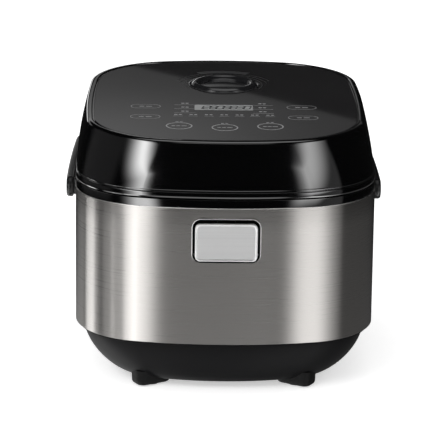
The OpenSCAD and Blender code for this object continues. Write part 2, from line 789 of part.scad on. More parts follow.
module dew_cup() color("#1f1f21") body_frame() {
    difference() {
        box(-cup_w / 2, cup_w / 2, cup_in, half_d + 0.6, cup_z, cup_z + cup_h);
        box(-cup_w / 2 + cup_t, cup_w / 2 - cup_t, cup_in + cup_t, half_d - 1.4, cup_z + cup_t, cup_z + cup_h + 1);
    }
    // face plate over the window, with a lip to pull the cup out by
    difference() {
        box(-cup_w / 2 - 4.5, cup_w / 2 + 4.5, half_d - 6, half_d + 2.4, cup_z - 4.5, cup_z + cup_h + 4.5);
        slab(body_outline(-0.35), cup_z - 10, cup_h + 20);
    }
    box(-cup_w / 4, cup_w / 4, half_d + 2, half_d + 6, cup_z + cup_h - 3, cup_z + cup_h);
}

module drain_tube() color("#d8d8d2") body_frame() translate([0, drain_y, cup_z + cup_h + 0.8 + cup_t])
    tube(4, 2.6, deck_z - 0.4 - (cup_z + cup_h + 0.8 + cup_t));

// ---- handle --------------------------------------------------------------

module handle() color("#1a1a1b") body_frame() {
    nose_r = handle_h / 2 + 0.6;
    difference() {
        intersection() {
            difference() {
                slab(handle_outline(0), pivot_z - 20, 40);
                slab(handle_hole(), pivot_z - 21, 42);
            }
            union() {
                along_x(0, pivot_z, -arm_out, 0) cylinder(r = nose_r, h = 2 * arm_out);
                box(-arm_out, arm_out, 0, handle_back, pivot_z - handle_h / 2, pivot_z + handle_h / 2);
            }
        }
        along_x(0, pivot_z, -arm_out - 1, 0) cylinder(r = pivot_r + run, h = 2 * arm_out + 2);
        for (s = [0, 1]) mirror([s, 0, 0])
            along_x(0, pivot_z, arm_out - 2.6, 0) cylinder(r = screw_head_r + 0.4, h = 10);
    }
}

screw_head_r = 5.6;

module handle_screws() color("#3a3a3c") body_frame() for (s = [0, 1]) mirror([s, 0, 0]) {
    along_x(0, pivot_z, half_w - 3.4, 0) cylinder(r = pivot_r, h = arm_out - 2.3 - half_w + 3.4);
    along_x(0, pivot_z, arm_out - 2.3, 0) cylinder(r = screw_head_r, h = 2);
}

// ---- lid -----------------------------------------------------------------

roof_in = panel_z - roof_t;
groove_deep = 1;

function lid_ring(dz, i = 0) = [lid_z + dz, lid_outline(dz / lid_h, i)];

module lid_shell() color("#0c0c0e") body_frame() difference() {
    union() {
        loft([
            [roof_in, lid_outline(lid_s(roof_in), lid_t + 0.6)],
            [roof_in - 10, lid_outline(lid_s(roof_in - 10), lid_t)],
            [lid_z + 26, lid_outline(26 / lid_h, lid_t)],
            [lid_z + 12, lid_outline(12 / lid_h, lid_t)],
            lid_ring(0, lid_t),
            lid_ring(0, 0.8),
            lid_ring(0.8),
            lid_ring(groove_z),
            lid_ring(groove_z + 0.5, groove_deep),
            lid_ring(groove_z + 1.2, groove_deep),
            lid_ring(groove_z + 1.7),
            lid_ring(14), lid_ring(21), lid_ring(28), lid_ring(35), lid_ring(42), lid_ring(47),
            lid_ring(lid_h - 1),
            [rim_z - 0.3, lid_outline(1, 0.3)],
            [rim_z, lid_outline(1, 1)],
            [rim_z, lid_outline(1, rim_w)],
            [panel_z, lid_outline(1, rim_w)]
        ]);
        box(-board_w / 2 - pocket_t, board_w / 2 + pocket_t, board_y - board_d / 2 + 6 - pocket_t,
            board_y + board_d / 2 + pocket_t, pocket_z - pocket_t, roof_in + 1);
        translate([0, vent_y, vent_well_z - 2]) cylinder(r = vent_r + 2, h = roof_in + 3 - vent_well_z);
        liner_spots() translate([0, 0, leaf_z]) cylinder(r = 4, h = roof_in + 1 - leaf_z);
    }
    box(-board_w / 2, board_w / 2, board_y - board_d / 2 + 6, board_y + board_d / 2, pocket_z, rim_z);
    translate([0, vent_y, vent_well_z]) cylinder(r = vent_r, h = 40);
    translate([0, vent_y, vent_well_z - 5]) cylinder(r = steam_r + 0.3, h = 10);
    liner_spots() translate([0, 0, leaf_z - 1]) cylinder(r = 1.6, h = 16);
}

vent_well_z = panel_z - 16;
steam_r = 9;

liner_x = 112;
liner_back = 94;
liner_mid = 84;
liner_nose_x = 62;
liner_nose = 138;

module liner_spots() {
    for (x = [-liner_x, liner_x], y = [-liner_mid, liner_back]) translate([x, y, 0]) children();
    for (x = [-liner_nose_x, liner_nose_x]) translate([x, -liner_nose, 0]) children();
}

module top_panel() color("#1f2022") body_frame() difference() {
    slab(lid_outline(1, rim_w + 1.2), panel_z, panel_t);
    translate([0, vent_y, panel_z - 1]) cylinder(r = vent_r, h = panel_t + 2);
}

board_t = 1.6;
board_z = pocket_z + 2;

module control_board() color("#2f6b3a") body_frame() {
    w = board_w / 2 - 1;
    box(-w, w, board_y - board_d / 2 + 7, board_y + board_d / 2 - 1, board_z, board_z + board_t);
    for (x = [-w + 6, w - 6], y = [board_y - board_d / 2 + 12, board_y + board_d / 2 - 7])
        translate([x, y, pocket_z]) cylinder(r = 3, h = 2);
}

display_y = -16;
display_w = 58;
display_d = 20;
key_y = -96;
key_bow = 5;
key_side_x = board_w / 2 - 14.5;
key_side_y = -23.5;
key_side_gap = 39;

module display_module() color("#d9d9d4") body_frame()
    box(-display_w / 2, display_w / 2, display_y - display_d, display_y, board_z + board_t, panel_z - 0.2);

module touch_springs() color("#b9a26a") body_frame()
    for (p = concat([[-42, key_y], [0, key_y - key_bow], [42, key_y]],
        [for (x = [-key_side_x, key_side_x], row = [0, 1]) [x, key_side_y - row * key_side_gap]]))
        translate([p[0], p[1], board_z + board_t]) tube(5, 4.3, panel_z - 0.2 - board_z - board_t);

gasket_out = lid_disc_r + 7.4;
dome_wall = 2.2;
dome_r = gasket_out + 0.4 + dome_wall;

module lid_liner() color("#1c1c1e") body_frame() difference() {
    union() {
        slab(lid_outline(0.06, lid_t + 0.4), liner_z, liner_t);
        translate([0, 0, liner_z]) cylinder(r = dome_r, h = dome_z - liner_z, $fn = 128);
    }
    translate([0, 0, liner_z - 1]) cylinder(r = dome_r - dome_wall, h = seat_z - liner_z + 1, $fn = 128);
    translate([0, vent_y, liner_z]) cylinder(r = steam_r + 0.6, h = 20);
    liner_spots() translate([0, 0, liner_z - 1]) cylinder(r = 1.7, h = 5);
    leaf_spots() translate([0, 0, liner_z - 1]) cylinder(r = 1.65, h = 5);
    catch_spots() translate([0, 0, liner_z - 1]) cylinder(r = 1.65, h = 5);
    box(-13, 13, catch_y - 0.5, -half_d + 26, liner_z - 1, liner_z + 4);
    for (s = [0, 1]) mirror([s, 0, 0])
        box(knuckle_out - leaf_w - 1, knuckle_out + 1, neck_y0 - 1, lid_back, liner_z - 1, liner_z + 4);
    translate([0, 0, liner_z]) cylinder(r = knob_stem_r + 0.05, h = 20);
}

knob_stem_r = 3;

module liner_screws() color("silver") body_frame()
    liner_spots() translate([0, 0, liner_z]) screw(1.55, 14, 2.8, 1.4);

catch_t = 1.4;

module catch_spots() for (x = [-17, 17]) translate([x, catch_y - 3, 0]) children();

module lid_catch() color("silver") body_frame() difference() {
    box(-21, 21, lid_front + lid_t + 1.6, catch_y, leaf_z, leaf_z + catch_t);
    catch_spots() translate([0, 0, leaf_z - 1]) cylinder(r = 1.65, h = 4);
}

lid_disc_z = deck_z + 4;
seat_z = dome_z - liner_t;

module inner_lid() color("#c9cbcd") body_frame() difference() {
    union() {
        translate([0, 0, lid_disc_z]) cylinder(r = lid_disc_r, h = 1.2, $fn = 128);
        translate([0, 0, lid_disc_z]) tube(lid_disc_r - 12, lid_disc_r - 13.2, 2.6, $fn = 128);
    }
    translate([0, vent_y, lid_disc_z - 1]) cylinder(r = steam_r, h = 4);
    translate([0, 0, lid_disc_z - 1]) cylinder(r = knob_stem_r + 0.05, h = 4);
}

module lid_gasket() color("#d9d9d6") body_frame() rotate_extrude($fn = 128) difference() {
    polygon([
        [lid_disc_r - 3, lid_disc_z - 1.6], [lid_disc_r + 2, deck_z + 0.1], [lid_disc_r + 6.8, deck_z + 0.1],
        [gasket_out, lid_disc_z + 1.6], [gasket_out, seat_z], [lid_disc_r - 3, seat_z]
    ]);
    translate([lid_disc_r - 4, lid_disc_z - 0.02]) square([4.05, 1.24]);
}

module inner_lid_knob() color("#8f9194") body_frame() {
    translate([0, 0, lid_disc_z - 2.4]) cylinder(r = 8, h = 2.4);
    translate([0, 0, lid_disc_z]) cylinder(r = knob_stem_r, h = dome_z + 2 - lid_disc_z);
    translate([0, 0, lid_disc_z + 1.2]) tube(6, knob_stem_r, seat_z - lid_disc_z - 1.2);
    translate([0, 0, dome_z]) tube(5, knob_stem_r, 2);
}

module steam_seal() color("#d9d9d6") body_frame() translate([0, vent_y, lid_disc_z + 1.2])
    tube(steam_r + 5, steam_r - 1.4, seat_z - lid_disc_z - 1.2);

lid_sensor_x = 50;

module lid_sensor() color("#b9bcc0") body_frame() translate([lid_sensor_x, 0, lid_disc_z + 1.2])
    cylinder(r = 6, h = seat_z - lid_disc_z - 1.2);

base_wall = 1.3;
cap_gap = 0.4;
cap_r = vent_r - 0.4 - base_wall - cap_gap;

module vent_base() color("#111112") body_frame() translate([0, vent_y, 0]) {
    difference() {
        translate([0, 0, vent_well_z]) cylinder(r = vent_r - 0.3, h = panel_top - vent_well_z);
        translate([0, 0, vent_well_z + 1.4]) cylinder(r = vent_r - 0.3 - base_wall, h = 40);
        translate([0, 0, vent_well_z - 1]) cylinder(r = steam_r - 1.6, h = 10);
    }
    translate([0, 0, dome_z]) tube(steam_r, steam_r - 1.6, vent_well_z - dome_z + 0.2);
}

module vent_cap() color("#141416") body_frame() translate([0, vent_y, 0]) {
    foot = vent_well_z + 1.7;
    top = panel_top + vent_proud;
    dish = panel_top + 0.4;
    difference() {
        rotate_extrude($fn = 96) polygon([
            [0, dish - 1.6], [cap_r - 11, dish - 1.6], [cap_r - 5, top - 2.4], [cap_r - 2, panel_top - 2],
            [cap_r - 1.6, foot], [cap_r, foot], [cap_r, panel_top], [cap_r - 2.2, top - 0.6],
            [cap_r - 3.2, top], [cap_r - 4.4, top], [cap_r - 5.4, top - 0.8], [cap_r - 10, dish], [0, dish]
        ]);
        for (a = [60:60:360]) rotate([0, 0, a]) translate([cap_r - 3, -3, foot - 1]) cube([6, 6, 4]);
    }
}

base_shell();
foot_pads();
base_screws();
steel_wrap();
upper_collar();
heat_shield();
shield_screws();
shield_nuts();
side_heater();
heating_plate();
heating_element();
plate_posts();
plate_screws();
thermal_fuse();
sensor_housing();
sensor_spring();
sensor_cap();
inner_pot();
board_bracket();
power_board();
transformer();
relay();
capacitors();
board_screws();
ac_inlet();
inlet_pins();
inlet_screws();
button_frame();
release_button();
latch_lever();
latch_pin();
latch_springs();
hinge_pin();
hinge_leaf();
hinge_spring();
bracket_screws();
dew_cup_holder();
dew_cup();
drain_tube();
handle();
handle_screws();
lid_shell();
top_panel();
control_board();
display_module();
touch_springs();
lid_liner();
liner_screws();
lid_catch();
inner_lid();
lid_gasket();
inner_lid_knob();
steam_seal();
vent_base();
vent_cap();
lid_sensor();
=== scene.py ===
import math
import bmesh
import bpy
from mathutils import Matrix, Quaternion, Vector


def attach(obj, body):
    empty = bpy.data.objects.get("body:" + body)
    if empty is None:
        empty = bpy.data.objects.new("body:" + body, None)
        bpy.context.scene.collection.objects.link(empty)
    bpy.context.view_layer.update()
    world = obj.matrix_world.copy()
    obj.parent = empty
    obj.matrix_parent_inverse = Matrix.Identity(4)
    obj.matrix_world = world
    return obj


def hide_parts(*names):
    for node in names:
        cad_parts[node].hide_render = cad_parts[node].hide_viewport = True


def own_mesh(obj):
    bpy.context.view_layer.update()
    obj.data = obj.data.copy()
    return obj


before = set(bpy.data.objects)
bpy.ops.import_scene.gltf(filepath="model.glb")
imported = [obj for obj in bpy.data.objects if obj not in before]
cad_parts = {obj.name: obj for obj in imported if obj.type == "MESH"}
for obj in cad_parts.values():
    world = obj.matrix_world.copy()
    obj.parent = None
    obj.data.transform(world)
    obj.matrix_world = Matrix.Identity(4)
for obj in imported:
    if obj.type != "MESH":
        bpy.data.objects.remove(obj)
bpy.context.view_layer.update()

# ---- sizes of the cooker, in millimetres, y counted from the middle of the body ----

MM = 0.001

# How far the middle of the body lies in front of the frame's origin.
MID_Y = 20.3

# The oval body: half its width and depth, its corner, and the heights of band, collar and deck.
HALF_W, HALF_D, CORNER = 140.0, 163.7, 74.0
WRAP_Z, COLLAR_Z, DECK_Z = 53.0, 182.6, 190.3
SHEET_T = 0.8

# The bowl below the band: it stands in by a step, then draws in towards its floor.
BOWL_TOP, BOWL_FLOOR, BOWL_WALL, BOWL_STEP = 50.0, 6.2, 2.5, 7.8
BOWL_DRAW_W, BOWL_DRAW_D, BOWL_DRAW_CORNER = 32.2, 24.2, 18
SLOTS, SLOT_PITCH, SLOT_W, SLOT_L, SLOT_Y = 11, 9, 4, 36, 40
FOOT_X, FOOT_Y, FOOT_TURN = 68.0, 117.0, 30
FOOT_W, FOOT_D, FOOT_CORNER, PAD_R = 36, 22, 8, 7.95

# Openings in the band: width, height, corner and height above the table, or a radius.
CUP_WINDOW = (81.2, 34, 3, 126)
INLET_WINDOW = (27.4, 20.4, 3, 78)
INLET_SCREW_X, INLET_HOLE_W = 20, 3.6
FRONT_CUT, BACK_CUT = (-175, -150), (150, 175)
PIVOT_HOLE_R = 8.15

# The release button and the duct that it sits in.
BUTTON_Z, BUTTON_W, BUTTON_H = 151.15, 57.0, 35.7
DUCT_W, DUCT_LOW, DUCT_HIGH, DUCT_BACK = 62.0, 131.4, 172.7, -149
DUCT_MID = (DUCT_LOW + DUCT_HIGH) / 2
DUCT_H = DUCT_HIGH - DUCT_LOW

# The handle, the lugs that it turns on, and the ears that hold the hinge pin.
PIVOT_Z, ARM_OUT, ARM_IN = 157.0, 150.6, 143.9
GRIP_BACK, GRIP_T, GRIP_H = 206.5, 15.0, 19.0
GRIP_CORNER_OUT, GRIP_CORNER_IN = 58, 46
LUG_X, LUG_R, SCREW_WELL_R, SCREW_WELL = 137, 8, 6.0, 2.6
EAR_IN, EAR_OUT, EAR_R, HINGE_Y, HINGE_Z = 40, 52, 5.3, HALF_D + 5.8, 184

# The lid, its groove, its top panel and the steam vent in it.
LID_Z, LID_H = 191.5, 51.3
RIM_Z = LID_Z + LID_H
LID_WALL, RIM_W = 2.5, 5.4
LID_DRAW_W, LID_DRAW_FRONT, LID_DRAW_BACK, LID_DRAW_CORNER = 9.4, 8.9, 3, 12
PANEL_TOP, PANEL_Z = 242.2, 240.0
VENT_Y, VENT_R, VENT_FLOOR, VENT_PORTS, TUBE_R = 65.9, 33.8, 224.0, 6, 7.4

# The pot, its fill lines and the spring of the sensor under it.
POT_R, POT_T, POT_Z, POT_TOP = 114.0, 2.0, 56.0, 190.0
POT_CORNER, POT_LIP = 22.0, 9
FILL_LINES, FILL_Z, FILL_STEP = 9, 84.0, 10.0
SPRING_FOOT, SPRING_H, SPRING_R, WIRE_R = 33.8, 10.0, 6.8, 0.65
SPRING_TURNS, SPRING_STEPS = 4, 28

# The printing on the panel, which stands a little left of the middle.
PRINT_X = -1.5
INK, INK_FOOT = PANEL_TOP + 0.05, PANEL_TOP - 0.02
TOUCH_KEYS = ((-42.0, -96.0), (0.0, -101.0), (42.0, -96.0))
RING_OUT_R, RING_IN_R = 12.2, 11.0
PILL_X, PILL_ROWS, PILL_W, PILL_H, PILL_LINE = 73.5, (-23.5, -62.5), 28, 14, 0.9
SIDE_X, SIDE_ROWS = 36.5, (-10.5, -25.5, -41.0)
MENU_X, MENU_STEP, MENU_WORDS, MENU_Y = -43.0, 14.33, 7, -54.0
DISPLAY_Y, DISPLAY_W, DISPLAY_H = -26, 55, 20
FIRST_DIGIT_X, DIGIT_STEP = -22.4, 6.4
DIGIT_W, DIGIT_H, BAR_T, SLANT = 5.6, 11.0, 1.5, 0.22


# ---- plan outlines ----

def arc(cx, cy, r, start, stop, n):
    """n points along an arc, without the one at its end."""
    turns = [start + (stop - start) * i / n for i in range(n)]
    return [(cx + r * math.cos(t), cy + r * math.sin(t)) for t in turns]


def outline(a, b, r, bow_x, bow_y, y0=0.0, fine=6):
    """A rounded rectangle whose four sides are shallow arcs that run on into the corners."""
    cx, cy = a - r - bow_x, b - r - bow_y
    rs = ((r + bow_x) ** 2 + cy ** 2 - r ** 2) / (2 * bow_x)
    rf = ((r + bow_y) ** 2 + cx ** 2 - r ** 2) / (2 * bow_y)
    s, f = math.atan2(cy, cx - a + rs), math.atan2(cx, cy - b + rf)
    q = math.pi / 2
    side, corner, front = 4 * fine, 9 * fine, 6 * fine
    points = (
        arc(a - rs, 0, rs, -s, s, side) + arc(cx, cy, r, s, q - f, corner)
        + arc(0, b - rf, rf, q - f, q + f, front) + arc(-cx, cy, r, q + f, 2 * q - s, corner)
        + arc(rs - a, 0, rs, 2 * q - s, 2 * q + s, side) + arc(-cx, -cy, r, 2 * q + s, 3 * q - f, corner)
        + arc(0, rf - b, rf, 3 * q - f, 3 * q + f, front) + arc(cx, -cy, r, 3 * q + f, 4 * q - s, corner)
    )
    return [(x, y + y0) for x, y in points]


def body_ring(inset=0.0):
    """The body's outline, or one that lies inside it."""
    return outline(HALF_W - inset, HALF_D - inset, CORNER - inset, 1.0, 7.0)


def bowl_ring(t, wall=0.0):
    """The bowl's outline, from t = 0 under the band to t = 1 at the floor."""
    k = 1 - (1 - t ** 1.62) ** (1 / 1.36)
    return outline(HALF_W - BOWL_STEP - BOWL_DRAW_W * k - wall, HALF_D - BOWL_STEP - BOWL_DRAW_D * k - wall,
                   CORNER - BOWL_STEP - BOWL_DRAW_CORNER * k - wall, 1 + 2 * k, 7.0)


def lid_ring(z, inset=0.0):
    """The lid's outline at a height: it leans in on all sides, and less at the back, over the hinge."""
    k = max(0.0, min(1.0, (z - LID_Z) / LID_H)) ** 1.46
    front, back = -HALF_D + 0.3 + LID_DRAW_FRONT * k, HALF_D + 7.3 - LID_DRAW_BACK * k
    return outline(HALF_W + 0.2 - LID_DRAW_W * k - inset, (back - front) / 2 - inset,
                   CORNER + 1 + LID_DRAW_CORNER * k - inset, 1.5 + 0.5 * k, 5.5 - 2 * k, (back + front) / 2)


def circle_ring(r, n=128, cx=0.0, cy=0.0):
    """A circle of n points."""
    return arc(cx, cy, r, 0, 2 * math.pi, n)


def rounded_ring(w, h, r, n=8):
    """A rounded rectangle round the origin, as a list of points."""
    q = math.pi / 2
    corners = ((1, 1), (-1, 1), (-1, -1), (1, -1))
    points = []
    for k, (sx, sy) in enumerate(corners):
        cx, cy = sx * (w / 2 - r), sy * (h / 2 - r)
        turns = [q * (k + i / n) for i in range(n + 1)]
        points += [(cx + r * math.cos(t), cy + r * math.sin(t)) for t in turns]
    return points


def facing(ring, cx, cy, r):
    """Points on a circle, each in the direction of the matching point of a ring."""
    turns = [math.atan2(y - cy, x - cx) for x, y in ring]
    return [(cx + r * math.cos(t), cy + r * math.sin(t)) for t in turns]


def upright(y, z, w, h, r):
    """A rounded rectangle that faces the front at y, with its middle at height z."""
    return [(u, y, z + v) for u, v in rounded_ring(w, h, r, 10)]


# ---- meshes ----

def skin(rings, closed=False):
    """Faces through rings of equal length; the two ends are capped, or joined when the profile is closed."""
    n, m = len(rings[0]), len(rings)
    points = [p for ring in rings for p in ring]
    spans = m if closed else m - 1
    faces = [(k * n + i, k * n + (i + 1) % n, (k + 1) % m * n + (i + 1) % n, (k + 1) % m * n + i)
             for k in range(spans) for i in range(n)]
    if not closed:
        faces += [tuple(range(n))[::-1], tuple(range((m - 1) * n, m * n))]
    return points, faces


def at_heights(pairs):
    """Rings in space from (z, flat ring) pairs."""
    return [[(x, y, z) for x, y in ring] for z, ring in pairs]


def joined(parts):
    """One list of points and faces from several."""
    points, faces = [], []
    for p, f in parts:
        faces += [tuple(i + len(points) for i in face) for face in f]
        points += p
    return points, faces


def loose(name, shape, weld=False):
    """A mesh in place, in metres, that belongs to no body yet: it is cut, repeated or cut with first."""
    points, faces = shape
    mesh = bpy.data.meshes.new(name)
    mesh.from_pydata([(x * MM, (y - MID_Y) * MM, z * MM) for x, y, z in points], [], faces)
    work = bmesh.new()
    work.from_mesh(mesh)
    if weld:
        bmesh.ops.remove_doubles(work, verts=work.verts, dist=1e-7)
    bmesh.ops.recalc_face_normals(work, faces=work.faces)
    work.to_mesh(mesh)
    work.free()
    thing = bpy.data.objects.new(name, mesh)
    bpy.context.scene.collection.objects.link(thing)
    return thing


def piece(name, shape, body, finish, stands_for=(), crease=32.0):
    """A mesh that is finished as it is drawn."""
    return settle(loose(name, shape, weld=True), body, finish, stands_for, crease)


def settle(thing, body, finish, stands_for=(), crease=32.0):
    """Gives a mesh its finish, the body it rides on and the CAD nodes that it stands for."""
    mesh = thing.data
    mesh.materials.clear()
    mesh.materials.append(finish)
    mesh.shade_smooth()
    mesh.set_sharp_from_angle(angle=math.radians(crease))
    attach(thing, body)
    if stands_for:
        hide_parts(*stands_for)
    return thing


def applied(thing):
    """Turns what the modifiers of a piece make into its plain mesh."""
    graph = bpy.context.evaluated_depsgraph_get()
    made = bpy.data.meshes.new_from_object(thing.evaluated_get(graph), preserve_all_data_layers=True,
                                           depsgraph=graph)
    thing.modifiers.clear()
    thing.data = made
    return thing


def cut(thing, cutter):
    """Takes the cutter's space out of a piece, and drops the cutter."""
    knife = thing.modifiers.new("cut", "BOOLEAN")
    knife.operation, knife.solver, knife.object = "DIFFERENCE", "EXACT", cutter
    applied(thing)
    bpy.data.objects.remove(cutter)
    return thing


def block(x0, x1, y0, y1, z0, z1):
    """A box between two corners."""
    rings = [[(x0, y0, z), (x1, y0, z), (x1, y1, z), (x0, y1, z)] for z in (z0, z1)]
    return skin(rings)


def rod_x(x0, x1, y, z, r, n=48):
    """A round rod along x."""
    return skin([[(x, y + c, z + s) for c, s in circle_ring(r, n)] for x in (x0, x1)])


def turned(profile, cx=0.0, cy=0.0, n=128):
    """A closed solid of revolution from a closed (radius, z) profile; a radius of 0 ends it on the axis."""
    rings = [[(x, y, z) for x, y in circle_ring(max(r, 0.02), n, cx, cy)] for r, z in profile]
    return skin(rings) if profile[0][0] == 0 and profile[-1][0] == 0 else skin(rings, closed=True)


def repeated(item, count, step, finish):
    """Copies of one small mesh in a row, made with Geometry Nodes and left as a plain mesh."""
    tree = bpy.data.node_groups.new("row of copies", "GeometryNodeTree")
    inputs = (("Geometry", "NodeSocketGeometry"), ("Count", "NodeSocketInt"), ("Step", "NodeSocketVector"))
    for name, kind in inputs:
        tree.interface.new_socket(name, in_out="INPUT", socket_type=kind)
    tree.interface.new_socket("Geometry", in_out="OUTPUT", socket_type="NodeSocketGeometry")
    given, made = tree.nodes.new("NodeGroupInput"), tree.nodes.new("NodeGroupOutput")
    line = tree.nodes.new("GeometryNodeMeshLine")
    place = tree.nodes.new("GeometryNodeInstanceOnPoints")
    real = tree.nodes.new("GeometryNodeRealizeInstances")
    paint = tree.nodes.new("GeometryNodeSetMaterial")
    paint.inputs["Material"].default_value = finish
    join = tree.links.new
    join(given.outputs["Count"], line.inputs["Count"])
    join(given.outputs["Step"], line.inputs["Offset"])
    join(line.outputs["Mesh"], place.inputs["Points"])
    join(given.outputs["Geometry"], place.inputs["Instance"])
    join(place.outputs["Instances"], real.inputs["Geometry"])
    join(real.outputs["Geometry"], paint.inputs["Geometry"])
    join(paint.outputs["Geometry"], made.inputs["Geometry"])
    row = item.modifiers.new("row", "NODES")
    row.node_group = tree
    sockets = {s.name: s.identifier for s in tree.interface.items_tree if s.in_out == "INPUT"}
    row[sockets["Count"]] = count
    row[sockets["Step"]] = [v * MM for v in step]
    return applied(item)


# ---- finishes ----

class Value:
    """A number that varies over a surface: sums and products of it add Math nodes."""

    def __init__(self, tree, socket):
        self.tree, self.socket = tree, socket

    def math(self, operation, *others):
        return add(self.tree, "ShaderNodeMath", {"operation": operation}, dict(enumerate((self, *others))))

    def __add__(self, other):
        return self.math("ADD", other)

    def __sub__(self, other):
        return self.math("SUBTRACT", other)

    def __rsub__(self, other):
        return (self * -1) + other

    def __mul__(self, other):
        return self.math("MULTIPLY", other)

    def __truediv__(self, other):
        return self.math("DIVIDE", other)

    def rise(self, start, stop):
        """0 below start, 1 above stop, smooth between."""
        return add(self.tree, "ShaderNodeMapRange", {"interpolation_type": "SMOOTHSTEP"},
                   {"Value": self, "From Min": start, "From Max": stop, "To Min": 0.0, "To Max": 1.0})

    def within(self, low, high, soft):
        """1 between low and high, and 0 outside, with soft edges."""
        return self.rise(low - soft, low + soft) * (1 - self.rise(high - soft, high + soft))


def add(tree, kind, settings=None, sockets=None, out=0):
    """Adds a node: its settings come first, then a value or a link for each named socket."""
    node = tree.nodes.new(kind)
    for name, value in (settings or {}).items():
        setattr(node, name, value)
    for name, value in (sockets or {}).items():
        if isinstance(value, Value):
            tree.links.new(value.socket, node.inputs[name])
        else:
            node.inputs[name].default_value = value
    return Value(tree, node.outputs[out])


def start_finish(name, **constants):
    """A Principled material, with its fixed values set on the shader itself."""
    material = bpy.data.materials.new(name)
    material.use_nodes = True
    tree = material.node_tree
    shader = tree.nodes["Principled BSDF"]
    for socket, value in constants.items():
        shader.inputs[socket.replace("_", " ")].default_value = value
    where = add(tree, "ShaderNodeTexCoord", out=3)
    return material, tree, shader, where


def stretched(tree, where, scale):
    """The same place, with each axis scaled by itself."""
    return add(tree, "ShaderNodeMapping", {}, {"Vector": where, "Scale": scale})


def noise(tree, where, scale, detail=2.0, rough=0.5):
    """Cloudy values round 0.5."""
    return add(tree, "ShaderNodeTexNoise", {}, {"Vector": where, "Scale": scale, "Detail": detail,
                                                "Roughness": rough})


def between(tree, factor, low, high):
    """A colour that runs from low to high."""
    return add(tree, "ShaderNodeMix", {"data_type": "RGBA"},
               {0: factor, 6: (*low, 1.0), 7: (*high, 1.0)}, out=2)


def feed(tree, shader, **links):
    """Links values that vary to the sockets of a shader."""
    for socket, value in links.items():
        tree.links.new(value.socket, shader.inputs[socket.replace("_", " ")])


def bumped(tree, height, strength, depth_mm):
    """A surface normal that follows a height."""
    return add(tree, "ShaderNodeBump", {},
               {"Height": height, "Strength": strength, "Distance": depth_mm * MM})


def moulded(name, colour, roughness, grain_mm=0.5, depth_mm=0.02, spread=0.15, **constants):
    """Moulded plastic: a fine grain, slight patches in colour and in gloss."""
    material, tree, shader, where = start_finish(name, **constants)
    fine = noise(tree, where, 1 / (grain_mm * MM * 2), 3.0, 0.6)
    patches = noise(tree, where, 28.0, 3.0)
    low = [c * (1 - spread) for c in colour]
    high = [c * (1 + spread) for c in colour]
    feed(tree, shader, Base_Color=between(tree, patches * 0.6 + fine * 0.4, low, high),
         Roughness=(patches - 0.5) * 0.12 + (fine - 0.5) * 0.06 + roughness,
         Normal=bumped(tree, fine, 0.6, depth_mm))
    return material


def brushed(name, colour, roughness, lines=(5.0, 5.0, 1400.0), spread=0.07, depth_mm=0.004, **constants):
    """Metal with fine lines that run along the two axes with the small scale."""
    material, tree, shader, where = start_finish(name, Metallic=1.0, **constants)
    fine = noise(tree, stretched(tree, where, lines), 1.0, 4.0, 0.7)
    broad = noise(tree, stretched(tree, where, [v * 0.18 for v in lines]), 1.0, 2.0)
    mark = fine * 0.7 + broad * 0.3
    low = [c * (1 - spread) for c in colour]
    high = [min(1.0, c * (1 + spread)) for c in colour]
    feed(tree, shader, Base_Color=between(tree, mark.rise(0.25, 0.75), low, high),
         Roughness=(mark - 0.5) * 0.12 + roughness, Normal=bumped(tree, fine, 0.35, depth_mm))
    return material


def plated(name, colour, roughness, patch=60.0, spread=0.12, **constants):
    """Sheet or cast metal with cloudy patches and a light tooth."""
    material, tree, shader, where = start_finish(name, Metallic=1.0, **constants)
    cloud = noise(tree, where, patch, 4.0, 0.6)
    tooth = noise(tree, where, 1800.0, 2.0)
    low = [c * (1 - spread) for c in colour]
    high = [min(1.0, c * (1 + spread)) for c in colour]
    feed(tree, shader, Base_Color=between(tree, cloud, low, high),
         Roughness=(cloud - 0.5) * 0.2 + roughness, Normal=bumped(tree, tooth, 0.3, 0.01))
    return material


def polished(name, colour, roughness, smear=0.03, ripple_mm=0.001, **constants):
    """Hard gloss plastic or glass: faint smears in the gloss and a very slight ripple."""
    material, tree, shader, where = start_finish(name, **constants)
    haze = noise(tree, where, 22.0, 3.0, 0.55)
    low = [c * 0.85 for c in colour]
    high = [c * 1.15 for c in colour]
    feed(tree, shader, Base_Color=between(tree, haze, low, high),
         Roughness=(haze - 0.5) * smear + roughness)
    if ripple_mm:
        feed(tree, shader, Normal=bumped(tree, noise(tree, where, 900.0, 2.0), 0.1, ripple_mm))
    return material


lid_gloss = polished("lid_gloss", (0.0008, 0.0008, 0.001), 0.07, Specular_IOR_Level=1.0, Coat_Weight=1.0,
                     Coat_Roughness=0.04, Coat_IOR=1.8)
panel_gloss = polished("panel_gloss", (0.0155, 0.0152, 0.0157), 0.02, 0.01, 0.0, Specular_IOR_Level=0.5)
cap_gloss = polished("cap_gloss", (0.010, 0.010, 0.011), 0.10, Specular_IOR_Level=1.0)
vent_rim = polished("vent_rim", (0.02, 0.02, 0.021), 0.16)
print_silver = moulded("print_silver", (0.27, 0.27, 0.275), 0.45, 0.2, 0.002)
print_faint = moulded("print_faint", (0.026, 0.026, 0.027), 0.4, 0.2, 0.002)
display_face = polished("display_face", (0.27, 0.275, 0.275), 0.22)
display_dark = polished("display_dark", (0.03, 0.032, 0.034), 0.2)
base_matte = moulded("base_matte", (0.0035, 0.0035, 0.004), 0.5, 0.35, 0.02, Specular_IOR_Level=0.1)
foot_matte = moulded("foot_matte", (0.004, 0.004, 0.0042), 0.6, Specular_IOR_Level=0.15)
rubber = moulded("rubber", (0.03, 0.03, 0.03), 0.75, 0.2, 0.02)
satin_black = moulded("satin_black", (0.007, 0.007, 0.0075), 0.32, 0.3, 0.008)
frame_black = moulded("frame_black", (0.004, 0.004, 0.0042), 0.55, 0.3, 0.006, Specular_IOR_Level=0.15)
